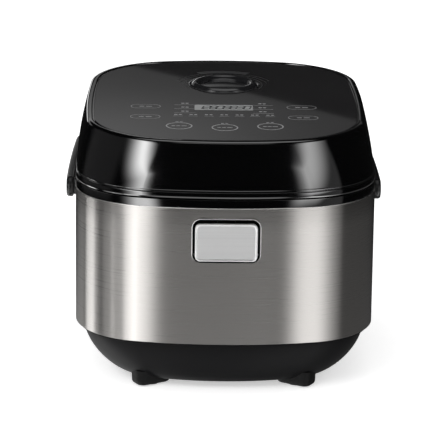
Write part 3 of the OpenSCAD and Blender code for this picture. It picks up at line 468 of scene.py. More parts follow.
liner_black = moulded("liner_black", (0.035, 0.035, 0.037), 0.4, 0.4, 0.012)
steel = brushed("steel", (0.45, 0.435, 0.42), 0.285, (12.0, 12.0, 5200.0), 0.02, 0.0008, Anisotropic=1.0,
                Anisotropic_Rotation=0.25)
steel_lip = brushed("steel_lip", (0.80, 0.79, 0.77), 0.42)
trim_bright = plated("trim_bright", (0.95, 0.94, 0.92), 0.5)
button_metal = brushed("button_metal", (0.90, 0.90, 0.90), 0.5, (4.0, 4.0, 2200.0), 0.05, Anisotropic=0.5,
                       Anisotropic_Rotation=0.25)
zinc = plated("zinc", (0.62, 0.63, 0.65), 0.34)
aluminium = plated("aluminium", (0.66, 0.66, 0.67), 0.42, 90.0)
sheet_steel = plated("sheet_steel", (0.55, 0.56, 0.58), 0.36, 35.0)
inner_lid_metal = brushed("inner_lid_metal", (0.46, 0.46, 0.465), 0.36, (300.0, 300.0, 300.0), 0.05)
brass = plated("brass", (0.80, 0.58, 0.24), 0.32)
spring_steel = plated("spring_steel", (0.58, 0.58, 0.6), 0.28)
silicone = moulded("silicone", (0.58, 0.58, 0.56), 0.42, 0.4, 0.01, Transmission_Weight=0.35, IOR=1.41)
mica = plated("mica", (0.42, 0.36, 0.25), 0.5, 140.0, 0.3)
board_green = moulded("board_green", (0.03, 0.16, 0.06), 0.36, 0.6, 0.01, 0.25)
tape_yellow = moulded("tape_yellow", (0.62, 0.42, 0.06), 0.36)
relay_blue = moulded("relay_blue", (0.03, 0.09, 0.34), 0.38)
can_grey = moulded("can_grey", (0.06, 0.06, 0.065), 0.3)
fuse_cream = moulded("fuse_cream", (0.62, 0.55, 0.38), 0.5)
bracket_cream = moulded("bracket_cream", (0.56, 0.53, 0.45), 0.5)


def coated(name, colour, roughness, speck, dots):
    """Baked non-stick coating with fine pale specks."""
    material, tree, shader, where = start_finish(name, Specular_IOR_Level=0.5)
    cells = add(tree, "ShaderNodeTexVoronoi", {"feature": "F1"}, {"Vector": where, "Scale": dots}, out=0)
    grain = noise(tree, where, 700.0, 3.0)
    dot = 1 - cells.rise(0.10, 0.20)
    feed(tree, shader, Base_Color=between(tree, dot * grain.rise(0.45, 0.6), colour, speck),
         Roughness=(grain - 0.5) * 0.2 + roughness, Normal=bumped(tree, grain, 0.3, 0.01))
    return material


pot_inside = coated("pot_inside", (0.028, 0.028, 0.03), 0.36, (0.22, 0.22, 0.23), 420.0)
pot_outside = plated("pot_outside", (0.34, 0.34, 0.35), 0.38, 160.0)

# ---- base with its feet ----

BOWL_STEPS = 28
bowl_h = BOWL_TOP - BOWL_FLOOR
climb = [BOWL_FLOOR + bowl_h * math.sin(math.pi / 2 * i / BOWL_STEPS) ** 1.7 for i in range(BOWL_STEPS)]
shell = [(z, bowl_ring((BOWL_TOP - z) / bowl_h)) for z in climb]
shell += [(BOWL_TOP - 0.5, bowl_ring(0.01)), (BOWL_TOP - 0.1, bowl_ring(0.0, -0.3)),
          (BOWL_TOP, body_ring(4.2)), (BOWL_TOP, body_ring(3.4)), (BOWL_TOP + 0.3, body_ring(3.2)),
          (BOWL_TOP + 3, body_ring(3.2)), (BOWL_TOP + 3, body_ring(BOWL_STEP + BOWL_WALL))]
shell += [(z, bowl_ring((BOWL_TOP - z) / bowl_h, BOWL_WALL))
          for z in (BOWL_TOP, 40.0, 28.0, 18.0, BOWL_FLOOR + BOWL_WALL)]
base = loose("base", skin(at_heights(shell)))
slot_x = -SLOT_PITCH * (SLOTS - 1) / 2
slot_pair = [block(slot_x - SLOT_W / 2, slot_x + SLOT_W / 2, y - SLOT_L / 2, y + SLOT_L / 2, 4, 12)
             for y in (-SLOT_Y, SLOT_Y)]
plain = bpy.data.materials.new("plain")
cut(base, repeated(loose("slots", joined(slot_pair)), SLOTS, (SLOT_PITCH, 0, 0), plain))
settle(base, "body", base_matte, ["base_shell"])

FOOT_AT = [(sx * FOOT_X, sy * FOOT_Y, math.radians(FOOT_TURN * sx * sy)) for sx in (-1, 1) for sy in (-1, 1)]


def foot(x, y, turn):
    """A rounded block, turned about its own middle, that rounds off towards the table."""
    rows = [(15.5, 0.0), (6.0, 0.35), (3.2, 0.6), (1.9, 1.2), (1.25, 2.1), (1.0, 3.2), (1.0, 4.4)]
    c, s = math.cos(turn), math.sin(turn)
    rings = []
    for z, inset in rows:
        flat = rounded_ring(FOOT_W - 2 * inset, FOOT_D - 2 * inset, FOOT_CORNER - min(inset, 4.0))
        rings.append([(x + c * u - s * v, y + s * u + c * v, z) for u, v in flat])
    return skin(rings)


piece("feet", joined([foot(*at) for at in FOOT_AT]), "body", foot_matte)
pad_profile = [(0, 0.0), (6.9, 0.0), (7.6, 0.25), (PAD_R, 0.8), (PAD_R, 3.0), (0, 3.0)]
pads = [turned(pad_profile, x, y, 64) for x, y, _ in FOOT_AT]
piece("foot_cushions", joined(pads), "body", rubber, ["foot_pads"])

# ---- steel wrap ----

wrap_rows = [(WRAP_Z, SHEET_T), (WRAP_Z, 0.25), (WRAP_Z + 0.25, 0.0)]
wrap_rows += [(WRAP_Z + 0.25 + (COLLAR_Z - WRAP_Z - 0.85) * i / 6, 0.0) for i in range(1, 7)]
wrap_rows += [(COLLAR_Z - 0.35, 0.05), (COLLAR_Z - 0.12, 0.2), (COLLAR_Z, 0.42), (COLLAR_Z, SHEET_T)]
band = loose("steel_band", skin(at_heights([(z, body_ring(i)) for z, i in wrap_rows]), closed=True))


def window(w, h, r, z, y0, y1, x=0.0):
    """A rounded block from y0 to y1, to cut an opening with."""
    return skin([[(x + u, y, z + v) for u, v in rounded_ring(w, h, r)] for y in (y0, y1)])


windows = [window(DUCT_W + 0.3, DUCT_H + 0.3, 8.1, DUCT_MID, *FRONT_CUT),
           window(*CUP_WINDOW, *BACK_CUT), window(*INLET_WINDOW, *BACK_CUT),
           rod_x(-150, -120, 0, PIVOT_Z, PIVOT_HOLE_R), rod_x(120, 150, 0, PIVOT_Z, PIVOT_HOLE_R)]
windows += [window(INLET_HOLE_W, INLET_HOLE_W, INLET_HOLE_W / 2 - 0.01, INLET_WINDOW[3], *BACK_CUT, x)
            for x in (-INLET_SCREW_X, INLET_SCREW_X)]
cut(band, loose("windows", joined(windows)))
settle(band, "body", steel, ["steel_wrap"])
lip_rows = [(COLLAR_Z - 0.75, 0.75), (COLLAR_Z - 0.75, 0.02), (COLLAR_Z - 0.3, 0.0), (COLLAR_Z - 0.02, 0.1),
            (COLLAR_Z + 0.12, 0.32), (COLLAR_Z + 0.12, 0.6), (COLLAR_Z, 0.75)]
piece("wrap_lip", skin(at_heights([(z, body_ring(i)) for z, i in lip_rows]), closed=True), "body", steel_lip)

# ---- collar under the lid ----

SEAT_R = POT_R + 9.6
HOLE_R = POT_R + 5.4
wall = body_ring(0.4)
collar = [(COLLAR_Z + 0.05, wall), (DECK_Z - 0.9, wall), (DECK_Z - 0.4, body_ring(0.52)),
          (DECK_Z - 0.1, body_ring(0.9)), (DECK_Z, body_ring(1.3)), (DECK_Z, body_ring(2.0)),
          (DECK_Z, facing(wall, 0, 0, SEAT_R + 0.6)),
          (DECK_Z - 0.4, facing(wall, 0, 0, SEAT_R)), (DECK_Z - 1.5, facing(wall, 0, 0, SEAT_R)),
          (DECK_Z - 1.5, facing(wall, 0, 0, HOLE_R)), (DECK_Z - 14, facing(wall, 0, 0, HOLE_R)),
          (DECK_Z - 14, facing(wall, 0, 0, HOLE_R + 0.5)), (DECK_Z - 3, facing(wall, 0, 0, HOLE_R + 0.5)),
          (DECK_Z - 3, body_ring(4)), (COLLAR_Z + 0.05, body_ring(4))]
rim = loose("collar_ring", skin(at_heights(collar), closed=True))
hook_opening = block(-12, 12, -HALF_D + 9.5, -HALF_D + 25, 170, 200)
drain_hole = turned([(0, 170), (4.15, 170), (4.15, 200), (0, 200)], 0, HALF_D - 16, 48)
cut(rim, loose("collar_cutters", joined([hook_opening, drain_hole])))
settle(rim, "body", lid_gloss, ["upper_collar"])

lug_parts = [rod_x(s * LUG_X, s * (ARM_IN - 0.3), 0, PIVOT_Z, LUG_R, 64) for s in (-1, 1)]
lug_parts += [rod_x(s * EAR_IN, s * EAR_OUT, HINGE_Y, HINGE_Z, EAR_R, 64) for s in (-1, 1)]
lug_parts += [block(*sorted((s * EAR_IN, s * EAR_OUT)), HALF_D - 12, HINGE_Y, COLLAR_Z + 0.4, DECK_Z - 1)
              for s in (-1, 1)]
settle(loose("lugs", joined(lug_parts)), "body", satin_black)

# ---- carrying handle ----


def handle_rings(inset):
    """The outer and the inner outline of the handle, seen from above."""
    outer = outline(ARM_OUT - inset, GRIP_BACK - inset, GRIP_CORNER_OUT - inset, 4.0, 6.0)
    inner = outline(ARM_IN + inset, GRIP_BACK - GRIP_T + inset, GRIP_CORNER_IN + inset, 3.0, 6.0)
    return outer, inner


def arm_section(k, rows):
    """The cross-section of the handle where its outlines have their point number k."""
    section = []
    for side, inset, dz in rows:
        x, y = handle_plan[inset][side][k]
        section.append((x, y, PIVOT_Z + dz))
    return section


half = GRIP_H / 2
edge = [(0, 3.0, half), (0, 1.6, half - 0.15), (0, 0.7, half - 0.6), (0, 0.2, half - 1.3),
        (0, 0.0, half - 2.2)]
section_rows = edge + [(0, 0.0, 0.0)] + [(s, i, -dz) for s, i, dz in edge[::-1]]
section_rows += [(1, 1.4, -half), (1, 0.5, -half + 0.3), (1, 0.0, -half + 1.0), (1, 0.0, 0.0),
                 (1, 0.0, half - 1.0), (1, 0.5, half - 0.3), (1, 1.4, half)]
handle_plan = {i: handle_rings(i) for _, i, _ in section_rows}
count = len(handle_plan[0.0][0])
path = [k for k in range(count) if handle_plan[0.0][0][k][1] > 0.2 and k < count * 0.6]
sections = [arm_section(k, section_rows) for k in path]
first, last = [[(x, 0.0, z) for x, y, z in end] for end in (sections[0], sections[-1])]
sections = [first, *sections, last]


def nose(side):
    """The round end of an arm on its pivot, with a well for the screw."""
    profile = [(ARM_IN, 0.02), (ARM_IN, half - 1.2), (ARM_IN + 0.5, half - 0.1), (ARM_IN + 1.5, half + 0.4),
               (ARM_OUT - 3.0, half + 0.4), (ARM_OUT - 1.6, half + 0.2), (ARM_OUT - 0.7, half - 0.4),
               (ARM_OUT - 0.2, half - 1.2), (ARM_OUT, half - 2.4), (ARM_OUT, SCREW_WELL_R),
               (ARM_OUT - SCREW_WELL, SCREW_WELL_R), (ARM_OUT - SCREW_WELL, 0.02)]
    return skin([[(side * x, r * c, PIVOT_Z + r * s) for c, s in circle_ring(1, 96)] for x, r in profile])


bail = loose("carry_handle", skin(sections))
screw_wells = [rod_x(s * (ARM_OUT - SCREW_WELL), s * 170, 0, PIVOT_Z, SCREW_WELL_R, 64) for s in (-1, 1)]
cut(bail, loose("screw_wells", joined(screw_wells)))
settle(bail, "handle", satin_black, ["handle"], 38)
piece("handle_ends", joined([nose(1), nose(-1)]), "handle", satin_black, crease=38)

# ---- release button and its frame ----

# Rows of y, how much narrower and lower than the whole, and corner.
back_y = -HALF_D + 0.2
front_y = back_y - 2.4
plate_rows = [(back_y, 0, 5), (front_y + 0.9, 0, 5), (front_y + 0.35, 0.3, 4.9),
              (front_y + 0.05, 1.1, 4.5), (front_y, 1.5, 4.3), (front_y, 2.5, 4.1),
              (front_y + 0.08, 2.9, 4.0), (front_y + 0.42, 3.7, 3.6), (front_y + 0.5, 4.1, 3.5),
              (front_y + 0.5, 5.0, 3.2)]
plate = [upright(y, BUTTON_Z, BUTTON_W - less, BUTTON_H - less, r) for y, less, r in plate_rows]
piece("button_plate", skin(plate), "button", button_metal, ["release_button"])


def duct(rows):
    """Outlines of the duct that the button sits in."""
    return [upright(y, DUCT_MID, DUCT_W - less, DUCT_H - less, r) for y, less, r in rows]


def hook_way(half_w):
    """A block to cut the way for the hook's arm with."""
    return loose("hook_way", block(-half_w, half_w, -159.5, -147, DUCT_LOW + 8, DUCT_HIGH + 4))


lip = -HALF_D - 0.5
frame_rows = [(DUCT_BACK, 0, 8), (lip + 0.6, 0, 8), (lip + 0.1, 0.4, 7.8), (lip, 0.8, 7.6),
              (lip + 0.1, 1.4, 7.3), (lip + 0.8, 1.9, 7.0), (DUCT_BACK, 1.9, 7.0)]
surround = loose("button_surround", skin(duct(frame_rows), closed=True))
cut(surround, hook_way(9))
settle(surround, "body", frame_black, ["button_frame"])
duct_back = loose("duct_back", skin(duct([(DUCT_BACK - 0.9, 2.2, 6.8), (DUCT_BACK - 0.1, 2.2, 6.8)])))
cut(duct_back, hook_way(8.3))
settle(duct_back, "body", frame_black)

# Rows of y, how much wider and taller than the duct, corner, and how far the row is lifted.
trim_rows = [(0.1, 1.2, 0.5, 8.6, 0.35), (-0.5, 1.1, 0.4, 8.5, 0.35), (-0.9, 0.8, 0.2, 8.4, 0.3),
             (-1.0, 0.2, -0.1, 8.1, 0.15), (-0.7, -0.4, -0.4, 7.8, 0.0), (0.1, -0.6, -0.6, 7.7, 0.0)]
trim = [upright(y - HALF_D, DUCT_MID + lift, DUCT_W + wide, DUCT_H + tall, r)
        for y, wide, tall, r, lift in trim_rows]
piece("window_trim", skin(trim, closed=True), "body", trim_bright)

# ---- lid ----


def lid_rows(rows):
    """Outlines of the lid from (height, inset) pairs."""
    return [(z, lid_ring(z, inset)) for z, inset in rows]


SIDE_STEPS = 30
GROOVE_END = 7.6
cover_rows = lid_rows([(RIM_Z - 8.8, LID_WALL + 0.6), (LID_Z + 26, LID_WALL), (LID_Z, LID_WALL), (LID_Z, 1.3),
                       (LID_Z, 0.9)])
cover_rows += [(LID_Z + up, lid_ring(LID_Z, inset)) for up, inset in ((0.12, 0.5), (0.4, 0.16))]
groove = [(0.9, 0.0), (4.9, 0.0), (5.3, 0.12), (5.6, 0.5), (5.75, 1.0), (6.75, 1.0), (6.9, 0.5), (7.2, 0.12),
          (GROOVE_END, 0.0)]
cover_rows += lid_rows([(LID_Z + up, inset) for up, inset in groove])
cover_rows += lid_rows([(LID_Z + GROOVE_END + (LID_H - 9.9) * i / SIDE_STEPS, 0.0)
                        for i in range(1, SIDE_STEPS + 1)])
rim_roll = [(1.9, 0.02), (1.45, 0.13), (1.05, 0.33), (0.72, 0.64), (0.45, 1.05), (0.25, 1.6), (0.1, 2.3),
            (0.0, 3.2), (0.04, 4.2), (0.16, 4.9), (0.4, RIM_W - 0.3), (0.8, RIM_W)]
cover_rows += lid_rows([(RIM_Z - down, inset) for down, inset in rim_roll])
cover_rows += [(PANEL_Z, lid_ring(RIM_Z, RIM_W)), (PANEL_Z, lid_ring(RIM_Z, RIM_W + 4))]
cover = loose("lid_cover", skin(at_heights(cover_rows)))
vent_hole = [(0, VENT_FLOOR), (VENT_R, VENT_FLOOR), (VENT_R, 250), (0, 250)]
cut(cover, loose("vent_hole", turned(vent_hole, 0, VENT_Y, 192)))
settle(cover, "lid", lid_gloss, ["lid_shell"])

panel_edge = lid_ring(RIM_Z, RIM_W + 1.2)
panel_rows = [(PANEL_Z, panel_edge), (PANEL_TOP - 0.4, panel_edge),
              (PANEL_TOP - 0.12, lid_ring(RIM_Z, RIM_W + 1.3)), (PANEL_TOP, lid_ring(RIM_Z, RIM_W + 1.6)),
              (PANEL_TOP, lid_ring(RIM_Z, RIM_W + 2.3))]
panel_rows += [(z, facing(panel_edge, 0, VENT_Y, r)) for z, r in
               ((PANEL_TOP, VENT_R + 1.2), (PANEL_TOP, VENT_R + 0.5), (PANEL_TOP - 0.12, VENT_R + 0.15),
                (PANEL_TOP - 0.4, VENT_R), (PANEL_Z, VENT_R))]
piece("top_glass", skin(at_heights(panel_rows), closed=True), "lid", panel_gloss, ["top_panel"])

# ---- steam vent ----

base_r = VENT_R - 0.3
top = PANEL_TOP + 3.1
dish = PANEL_TOP - 0.6
cap_r = VENT_R - 2.1
vent_well = [(TUBE_R, VENT_FLOOR), (base_r, VENT_FLOOR), (base_r, PANEL_TOP + 0.05),
             (base_r + 0.9, PANEL_TOP + 0.05), (base_r + 0.75, PANEL_TOP + 0.45),
             (base_r + 0.35, PANEL_TOP + 0.75), (base_r - 0.2, PANEL_TOP + 0.8),
             (base_r - 0.7, PANEL_TOP + 0.5), (base_r - 1.3, PANEL_TOP - 0.4),
             (base_r - 1.3, VENT_FLOOR + 1.4), (TUBE_R, VENT_FLOOR + 1.4)]
steam_tube = [(TUBE_R, 199.5), (TUBE_R + 1.6, 199.5), (TUBE_R + 1.6, VENT_FLOOR + 0.2),
              (TUBE_R, VENT_FLOOR + 0.2)]
well_and_tube = joined([turned(vent_well, 0, VENT_Y, 192), turned(steam_tube, 0, VENT_Y, 96)])
piece("vent_well", well_and_tube, "lid", vent_rim, ["vent_base"])
wall_r = cap_r - 7.4
cap_profile = [(0, dish - 1.6), (cap_r - 11, dish - 1.6), (cap_r - 5, top - 2.4), (cap_r - 2, PANEL_TOP - 3),
               (cap_r - 1.6, VENT_FLOOR + 1.7), (cap_r, VENT_FLOOR + 1.7), (cap_r, top - 3.1),
               (cap_r - 0.2, top - 2.3), (cap_r - 0.7, top - 1.7), (cap_r - 1.5, top - 1.1),
               (cap_r - 2.3, top - 0.5), (cap_r - 3.1, top - 0.15), (cap_r - 4.0, top),
               (cap_r - 5.0, top - 0.08), (cap_r - 5.7, top - 0.32), (cap_r - 6.2, top - 0.7),
               (wall_r, dish + 1.1), (wall_r - 0.3, dish + 0.6), (wall_r - 0.8, dish + 0.2),
               (wall_r - 1.5, dish)]
cap_profile += [(r, dish + 1.0 * (1 - (r / (wall_r - 1.5)) ** 2)) for r in (20, 16, 12, 8, 4, 0)]
cap = loose("steam_cap", turned(cap_profile, 0, VENT_Y, 192))
notches = []
for k in range(VENT_PORTS):
    t = math.radians(360 / VENT_PORTS * k)
    c, s = math.cos(t), math.sin(t)
    corners = [(cap_r - 3, -3), (cap_r + 3, -3), (cap_r + 3, 3), (cap_r - 3, 3)]
    notches.append(skin([[(c * u - s * v, VENT_Y + s * u + c * v, z) for u, v in corners]
                         for z in (VENT_FLOOR, VENT_FLOOR + 4.7)]))
cut(cap, loose("steam_ports", joined(notches)))
settle(cap, "vent", cap_gloss, ["vent_cap"])

# ---- printing on the panel ----


def flat_ring(x, y, outer, inner):
    """A thin printed loop between two outlines round (x, y)."""
    rings = []
    for ring, z in ((outer, INK_FOOT), (outer, INK), (inner, INK), (inner, INK_FOOT)):
        rings.append([(x + u, y + v, z) for u, v in ring])
    return skin(rings, closed=True)


def flat_patch(x, y, ring):
    """A thin printed patch inside an outline round (x, y)."""
    return skin([[(x + u, y + v, z) for u, v in ring] for z in (INK_FOOT, INK)])


def bar(x, y, w, h):
    """A printed bar with round ends."""
    return flat_patch(x, y, rounded_ring(w, h, min(w, h) * 0.45, 3))


def word(x, y, h, *letters):
    """Bars in a row, in the place of a short word, from (offset, width) pairs."""
    return [bar(x + shift, y, w, h) for shift, w in letters]


marks = []
for x, y in TOUCH_KEYS:
    x += PRINT_X
    marks.append(flat_ring(x, y, circle_ring(RING_OUT_R, 96), circle_ring(RING_IN_R, 96)))
    marks += word(x, y, 1.6, (-5.2, 3.6), (-0.8, 3.8), (4.4, 5.2))
    marks += word(x, y + 15.0, 1.5, (-2.0, 3.0), (2.0, 3.0))
pill_edge = rounded_ring(PILL_W, PILL_H, 6.9, 12)
pill_hollow = rounded_ring(PILL_W - PILL_LINE, PILL_H - PILL_LINE, 6.5, 12)
for side in (-1, 1):
    for y in PILL_ROWS:
        x = side * PILL_X + PRINT_X
        marks.append(flat_ring(x, y, pill_edge, pill_hollow))
        marks += word(x, y, 1.6, (-3.6, 4.8), (3.2, 5.8))
for side in (-1, 1):
    for y in SIDE_ROWS:
        x = side * SIDE_X + PRINT_X
        marks += word(x, y, 2.6, (-2.0, 3.4), (2.0, 3.2))
        marks.append(bar(x, y - 6.2, 20, 0.5))
for k in range(MENU_WORDS):
    x = MENU_X + MENU_STEP * k + PRINT_X
    marks += word(x, MENU_Y, 2.4, (-2.1, 3.4), (2.1, 3.2))
    marks.append(bar(x, MENU_Y - 5.5, 9.0, 0.5))
piece("panel_print", joined(marks), "lid", print_silver)


def bent_line(r, width, start, stop):
    """A printed line that follows the steam vent's edge between two angles in degrees."""
    turns = [math.radians(start + (stop - start) * i / 40) for i in range(41)]
    flow = []
    for t in turns:
        flow.append([((r + d) * math.cos(t), VENT_Y + (r + d) * math.sin(t), z)
                     for d, z in ((0, INK_FOOT), (0, INK), (width, INK), (width, INK_FOOT))])
    return skin(flow)


# How far each line stands from the vent, its width, and the angles where it starts and stops.
HALO = ((3.0, 0.9, -25, 205), (8.0, 0.9, 8, 76), (8.0, 0.9, 104, 172),
        (13.0, 0.9, 20, 60), (13.0, 0.9, 120, 160), (13.0, 9.0, 62, 118))
halo = [bent_line(VENT_R + away, width, start, stop) for away, width, start, stop in HALO]
piece("vent_halo", joined(halo), "lid", print_faint)

# Which of the seven bars are lit: top, upper left, upper right, middle, lower left, lower right, bottom.
DIGIT_BARS = {"1": "0010010", "2": "1011101", "3": "1011011", "8": "1111111", "0": "1110111"}


def digit(x, y, lit):
    """Seven slanted bars, of which the lit ones are returned."""
    w, h = DIGIT_W / 2, DIGIT_H / 2
    spans = [((-w, h), (w, h)), ((-w, 0), (-w, h)), ((w, 0), (w, h)), ((-w, 0), (w, 0)), ((-w, -h), (-w, 0)),
             ((w, -h), (w, 0)), ((-w, -h), (w, -h))]
    t, gap = BAR_T / 2, BAR_T * 0.35
    bars = []
    for on, ((u0, v0), (u1, v1)) in zip(lit, spans):
        if on == "0":
            continue
        if v0 == v1:
            corners = [(u0 + gap, v0 - t), (u1 - gap, v0 - t), (u1 - gap, v0 + t), (u0 + gap, v0 + t)]
        else:
            corners = [(u0 - t, v0 + gap), (u0 + t, v0 + gap), (u0 + t, v1 - gap), (u0 - t, v1 - gap)]
        bars.append(skin([[(x + u + v * SLANT, y + v, z) for u, v in corners]
                          for z in (INK - 0.01, INK + 0.04)]))
    return bars


pane = flat_patch(PRINT_X, DISPLAY_Y, rounded_ring(DISPLAY_W, DISPLAY_H, 0.8, 4))
piece("display_window", pane, "lid", display_face)
segments = []
for k, sign in enumerate("12808830"):
    segments += digit(PRINT_X + FIRST_DIGIT_X + DIGIT_STEP * k, DISPLAY_Y, DIGIT_BARS[sign])
piece("display_digits", joined(segments), "lid", display_dark)

# ---- inner pot with its fill lines ----


def pot_bend(r, turns):
    """The round corner of the pot's wall into its floor, at a radius about one middle."""
    mid_r, mid_z = POT_R - POT_CORNER, POT_Z + POT_CORNER
    return [(mid_r + r * math.sin(t), mid_z - r * math.cos(t)) for t in turns]


BEND_STEPS = 12
bend = [math.radians(90 * i / BEND_STEPS) for i in range(BEND_STEPS + 1)]
lip_r = POT_R + POT_LIP
pot_profile = [(0, POT_Z)] + pot_bend(POT_CORNER, bend)
pot_profile += [(POT_R, POT_TOP - 2.6), (POT_R + 0.3, POT_TOP - 1.6), (POT_R + 1.2, POT_TOP - 1.2),
                (lip_r - 1.0, POT_TOP - 1.2), (lip_r - 0.2, POT_TOP - 1.0), (lip_r, POT_TOP - 0.6),
                (lip_r - 0.2, POT_TOP - 0.2), (lip_r - 1.0, POT_TOP), (POT_R, POT_TOP),
                (POT_R - 1.4, POT_TOP - 0.3), (POT_R - POT_T, POT_TOP - 1.2)]
pot_profile += pot_bend(POT_CORNER - POT_T, bend[::-1])
pot_profile += [(60, POT_Z + POT_T), (0, POT_Z + POT_T)]
pot = piece("rice_pot", turned(pot_profile, n=192), "body", pot_outside, ["inner_pot"])
pot.data.materials.append(pot_inside)

# The coating covers what looks up, above the pot's underside, and what looks towards its middle.
for face in pot.data.polygons:
    x, y, z = face.center
    y += MID_Y * MM
    looks_up = face.normal.z > 0.3 and z > (POT_Z + 1) * MM
    looks_in = face.normal.x * x + face.normal.y * y < 0 and math.hypot(x, y) < (POT_R - 1.2) * MM
    if looks_up or looks_in:
        face.material_index = 1

fill_marks = []
fill_r = POT_R - POT_T
for k in range(FILL_LINES):
    z = FILL_Z + FILL_STEP * k
    span = 0.085 if k % 2 else 0.13
    for start in (math.radians(60), math.radians(240)):
        arcs = [start - span / 2 + span * i / 8 for i in range(9)]
        line = [[((fill_r - d) * math.cos(t), (fill_r - d) * math.sin(t), z + h)
                 for d, h in ((-0.05, -0.5), (0.12, -0.4), (0.12, 0.4), (-0.05, 0.5))] for t in arcs]
        fill_marks.append(skin(line))
piece("fill_lines", joined(fill_marks), "body", print_silver)

# ---- spring under the sensor, drawn at one length; the real one shortens as the pot presses the sensor down ----

spring_rings = []
for k in range(SPRING_TURNS * SPRING_STEPS + 1):
    t = math.tau * k / SPRING_STEPS
    mid_z = SPRING_FOOT + WIRE_R + (SPRING_H - 2 * WIRE_R) * k / (SPRING_TURNS * SPRING_STEPS)
    spring_rings.append([((SPRING_R + c) * math.cos(t), (SPRING_R + c) * math.sin(t), mid_z + s)
                         for c, s in circle_ring(WIRE_R, 12)])
plunger_spring = piece("plunger_spring", skin(spring_rings), "body", spring_steel, ["sensor_spring"])
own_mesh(plunger_spring)

# ---- finishes of the pieces that keep their own shape ----

kept = {
    "base_screws": zinc, "heat_shield": sheet_steel, "shield_screws": zinc, "shield_nuts": zinc,
    "side_heater": mica, "heating_plate": aluminium, "heating_element": sheet_steel,
    "plate_posts": aluminium, "plate_screws": zinc, "thermal_fuse": fuse_cream,
    "sensor_housing": sheet_steel, "sensor_cap": aluminium, "board_bracket": bracket_cream,
    "power_board": board_green, "transformer": tape_yellow, "relay": relay_blue, "capacitors": can_grey,
    "board_screws": zinc, "ac_inlet": satin_black, "inlet_pins": brass, "inlet_screws": zinc,
    "latch_lever": frame_black, "latch_pin": zinc, "latch_springs": spring_steel, "hinge_pin": zinc,
    "hinge_leaf": sheet_steel, "hinge_spring": spring_steel, "bracket_screws": zinc,
    "dew_cup_holder": satin_black, "dew_cup": satin_black, "drain_tube": silicone,
    "handle_screws": satin_black, "control_board": board_green, "display_module": display_dark,
    "touch_springs": spring_steel, "lid_liner": liner_black, "liner_screws": zinc, "lid_catch": zinc,
    "inner_lid": inner_lid_metal, "lid_gasket": silicone, "inner_lid_knob": satin_black,
    "steam_seal": silicone, "lid_sensor": aluminium,
}
for name, finish in kept.items():
    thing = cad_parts[name]
    thing.data.materials.clear()
    thing.data.materials.append(finish)

# ---- room: floor, studio and camera ----


def sheet_mesh(name, points, faces, finish):
    """A mesh of the room, in metres."""
    mesh = bpy.data.meshes.new(name)
    mesh.from_pydata(points, [], faces)
    thing = bpy.data.objects.new(name, mesh)
    mesh.materials.append(finish)
    bpy.context.scene.collection.objects.link(thing)
    return thing


def emission(name):
    """A material that only glows."""
    material = bpy.data.materials.new(name)
    material.use_nodes = True
    tree = material.node_tree
    tree.nodes.clear()
    sink = tree.nodes.new("ShaderNodeOutputMaterial")
    lamp = tree.nodes.new("ShaderNodeEmission")
    tree.links.new(lamp.outputs[0], sink.inputs[0])
    return material, tree, lamp


FLOOR_HALF, FLOOR_GLOW = 14.0, 0.5
floor_paint = bpy.data.materials.new("floor_paint")
floor_paint.use_nodes = True
floor_tree = floor_paint.node_tree
floor_shader = floor_tree.nodes["Principled BSDF"]
for socket, value in (("Base Color", (0.93, 0.93, 0.93, 1)), ("Roughness", 0.9), ("Specular IOR Level", 0.0),
                      ("Emission Color", (1, 1, 1, 1))):
    floor_shader.inputs[socket].default_value = value
looked_at = add(floor_tree, "ShaderNodeLightPath", out=0)
floor_tree.links.new((looked_at * FLOOR_GLOW).socket, floor_shader.inputs["Emission Strength"])
floor_corners = [(FLOOR_HALF * u, FLOOR_HALF * v, 0) for u, v in ((-1, -1), (1, -1), (1, 1), (-1, 1))]
floor = sheet_mesh("floor", floor_corners, [(0, 1, 2, 3)], floor_paint)
floor.visible_glossy = False

# Dark cloth all round with soft boxes in it, seen only in the gloss of the object. A place on it is told
# by two angles in degrees: turn goes from the front round to the right, and lift goes up from the table.
cards_paint, tree, lamp = emission("cards_paint")
where = add(tree, "ShaderNodeTexCoord", out=3)
split = tree.nodes.new("ShaderNodeSeparateXYZ")
tree.links.new(where.socket, split.inputs[0])
px, py, pz = (Value(tree, split.outputs[k]) for k in range(3))
DEG = 180 / math.pi
LOW_CARD_FOOT, LOW_CARD_TOP, CLOTH = -70, -18, 0.005
turn = px.math("ARCTAN2", py * -1.0) * DEG
from_behind = px.math("ARCTAN2", py) * DEG
lift = pz.math("ARCTAN2", (px * px + py * py).math("SQRT")) * DEG


def card(turn0, turn1, lift0, lift1, level, soft):
    """A soft box between two turns and two lifts."""
    return turn.within(turn0, turn1, soft) * lift.within(lift0, lift1, soft) * level


def low_card(turn0, turn1, level, soft):
    """A soft box below the table's level, where the upright steel looks when it is seen from above."""
    return card(turn0, turn1, LOW_CARD_FOOT, LOW_CARD_TOP, level, soft)


# Two boxes for the leaning sides of the lid: the inner edge of each softens upwards, and it fades outwards.
above = lift.rise(-20.0, -16.5) * (1 - lift.rise(24.0, 40.0))
high_part = lift.rise(8.0, 18.0)
left_lean = turn + (lift - 8.0).math("MAXIMUM", 0.0)
ramp = left_lean.rise(-57.5, -20.5)
left_edge = 1 - ((left_lean + 20.0) / (high_part * 12.0 + 4.8)).rise(-0.5, 0.5)
left_box = ramp * ramp * left_edge * (lift.rise(4.0, 18.0) * 3.0 + 3.5)
right_lean = turn - (lift - 10.5).math("MAXIMUM", 0.0) * 1.05
right_edge = ((right_lean - 20.8) / (lift.rise(9.0, 20.0) * 13.0 + 4.8)).rise(-0.5, 0.5)
right_fade = 1 - (turn - lift * 1.03).rise(15.5, 45.5)
right_box = right_edge * right_fade * 2.1 + turn.within(30, 68, 3) * 0.14

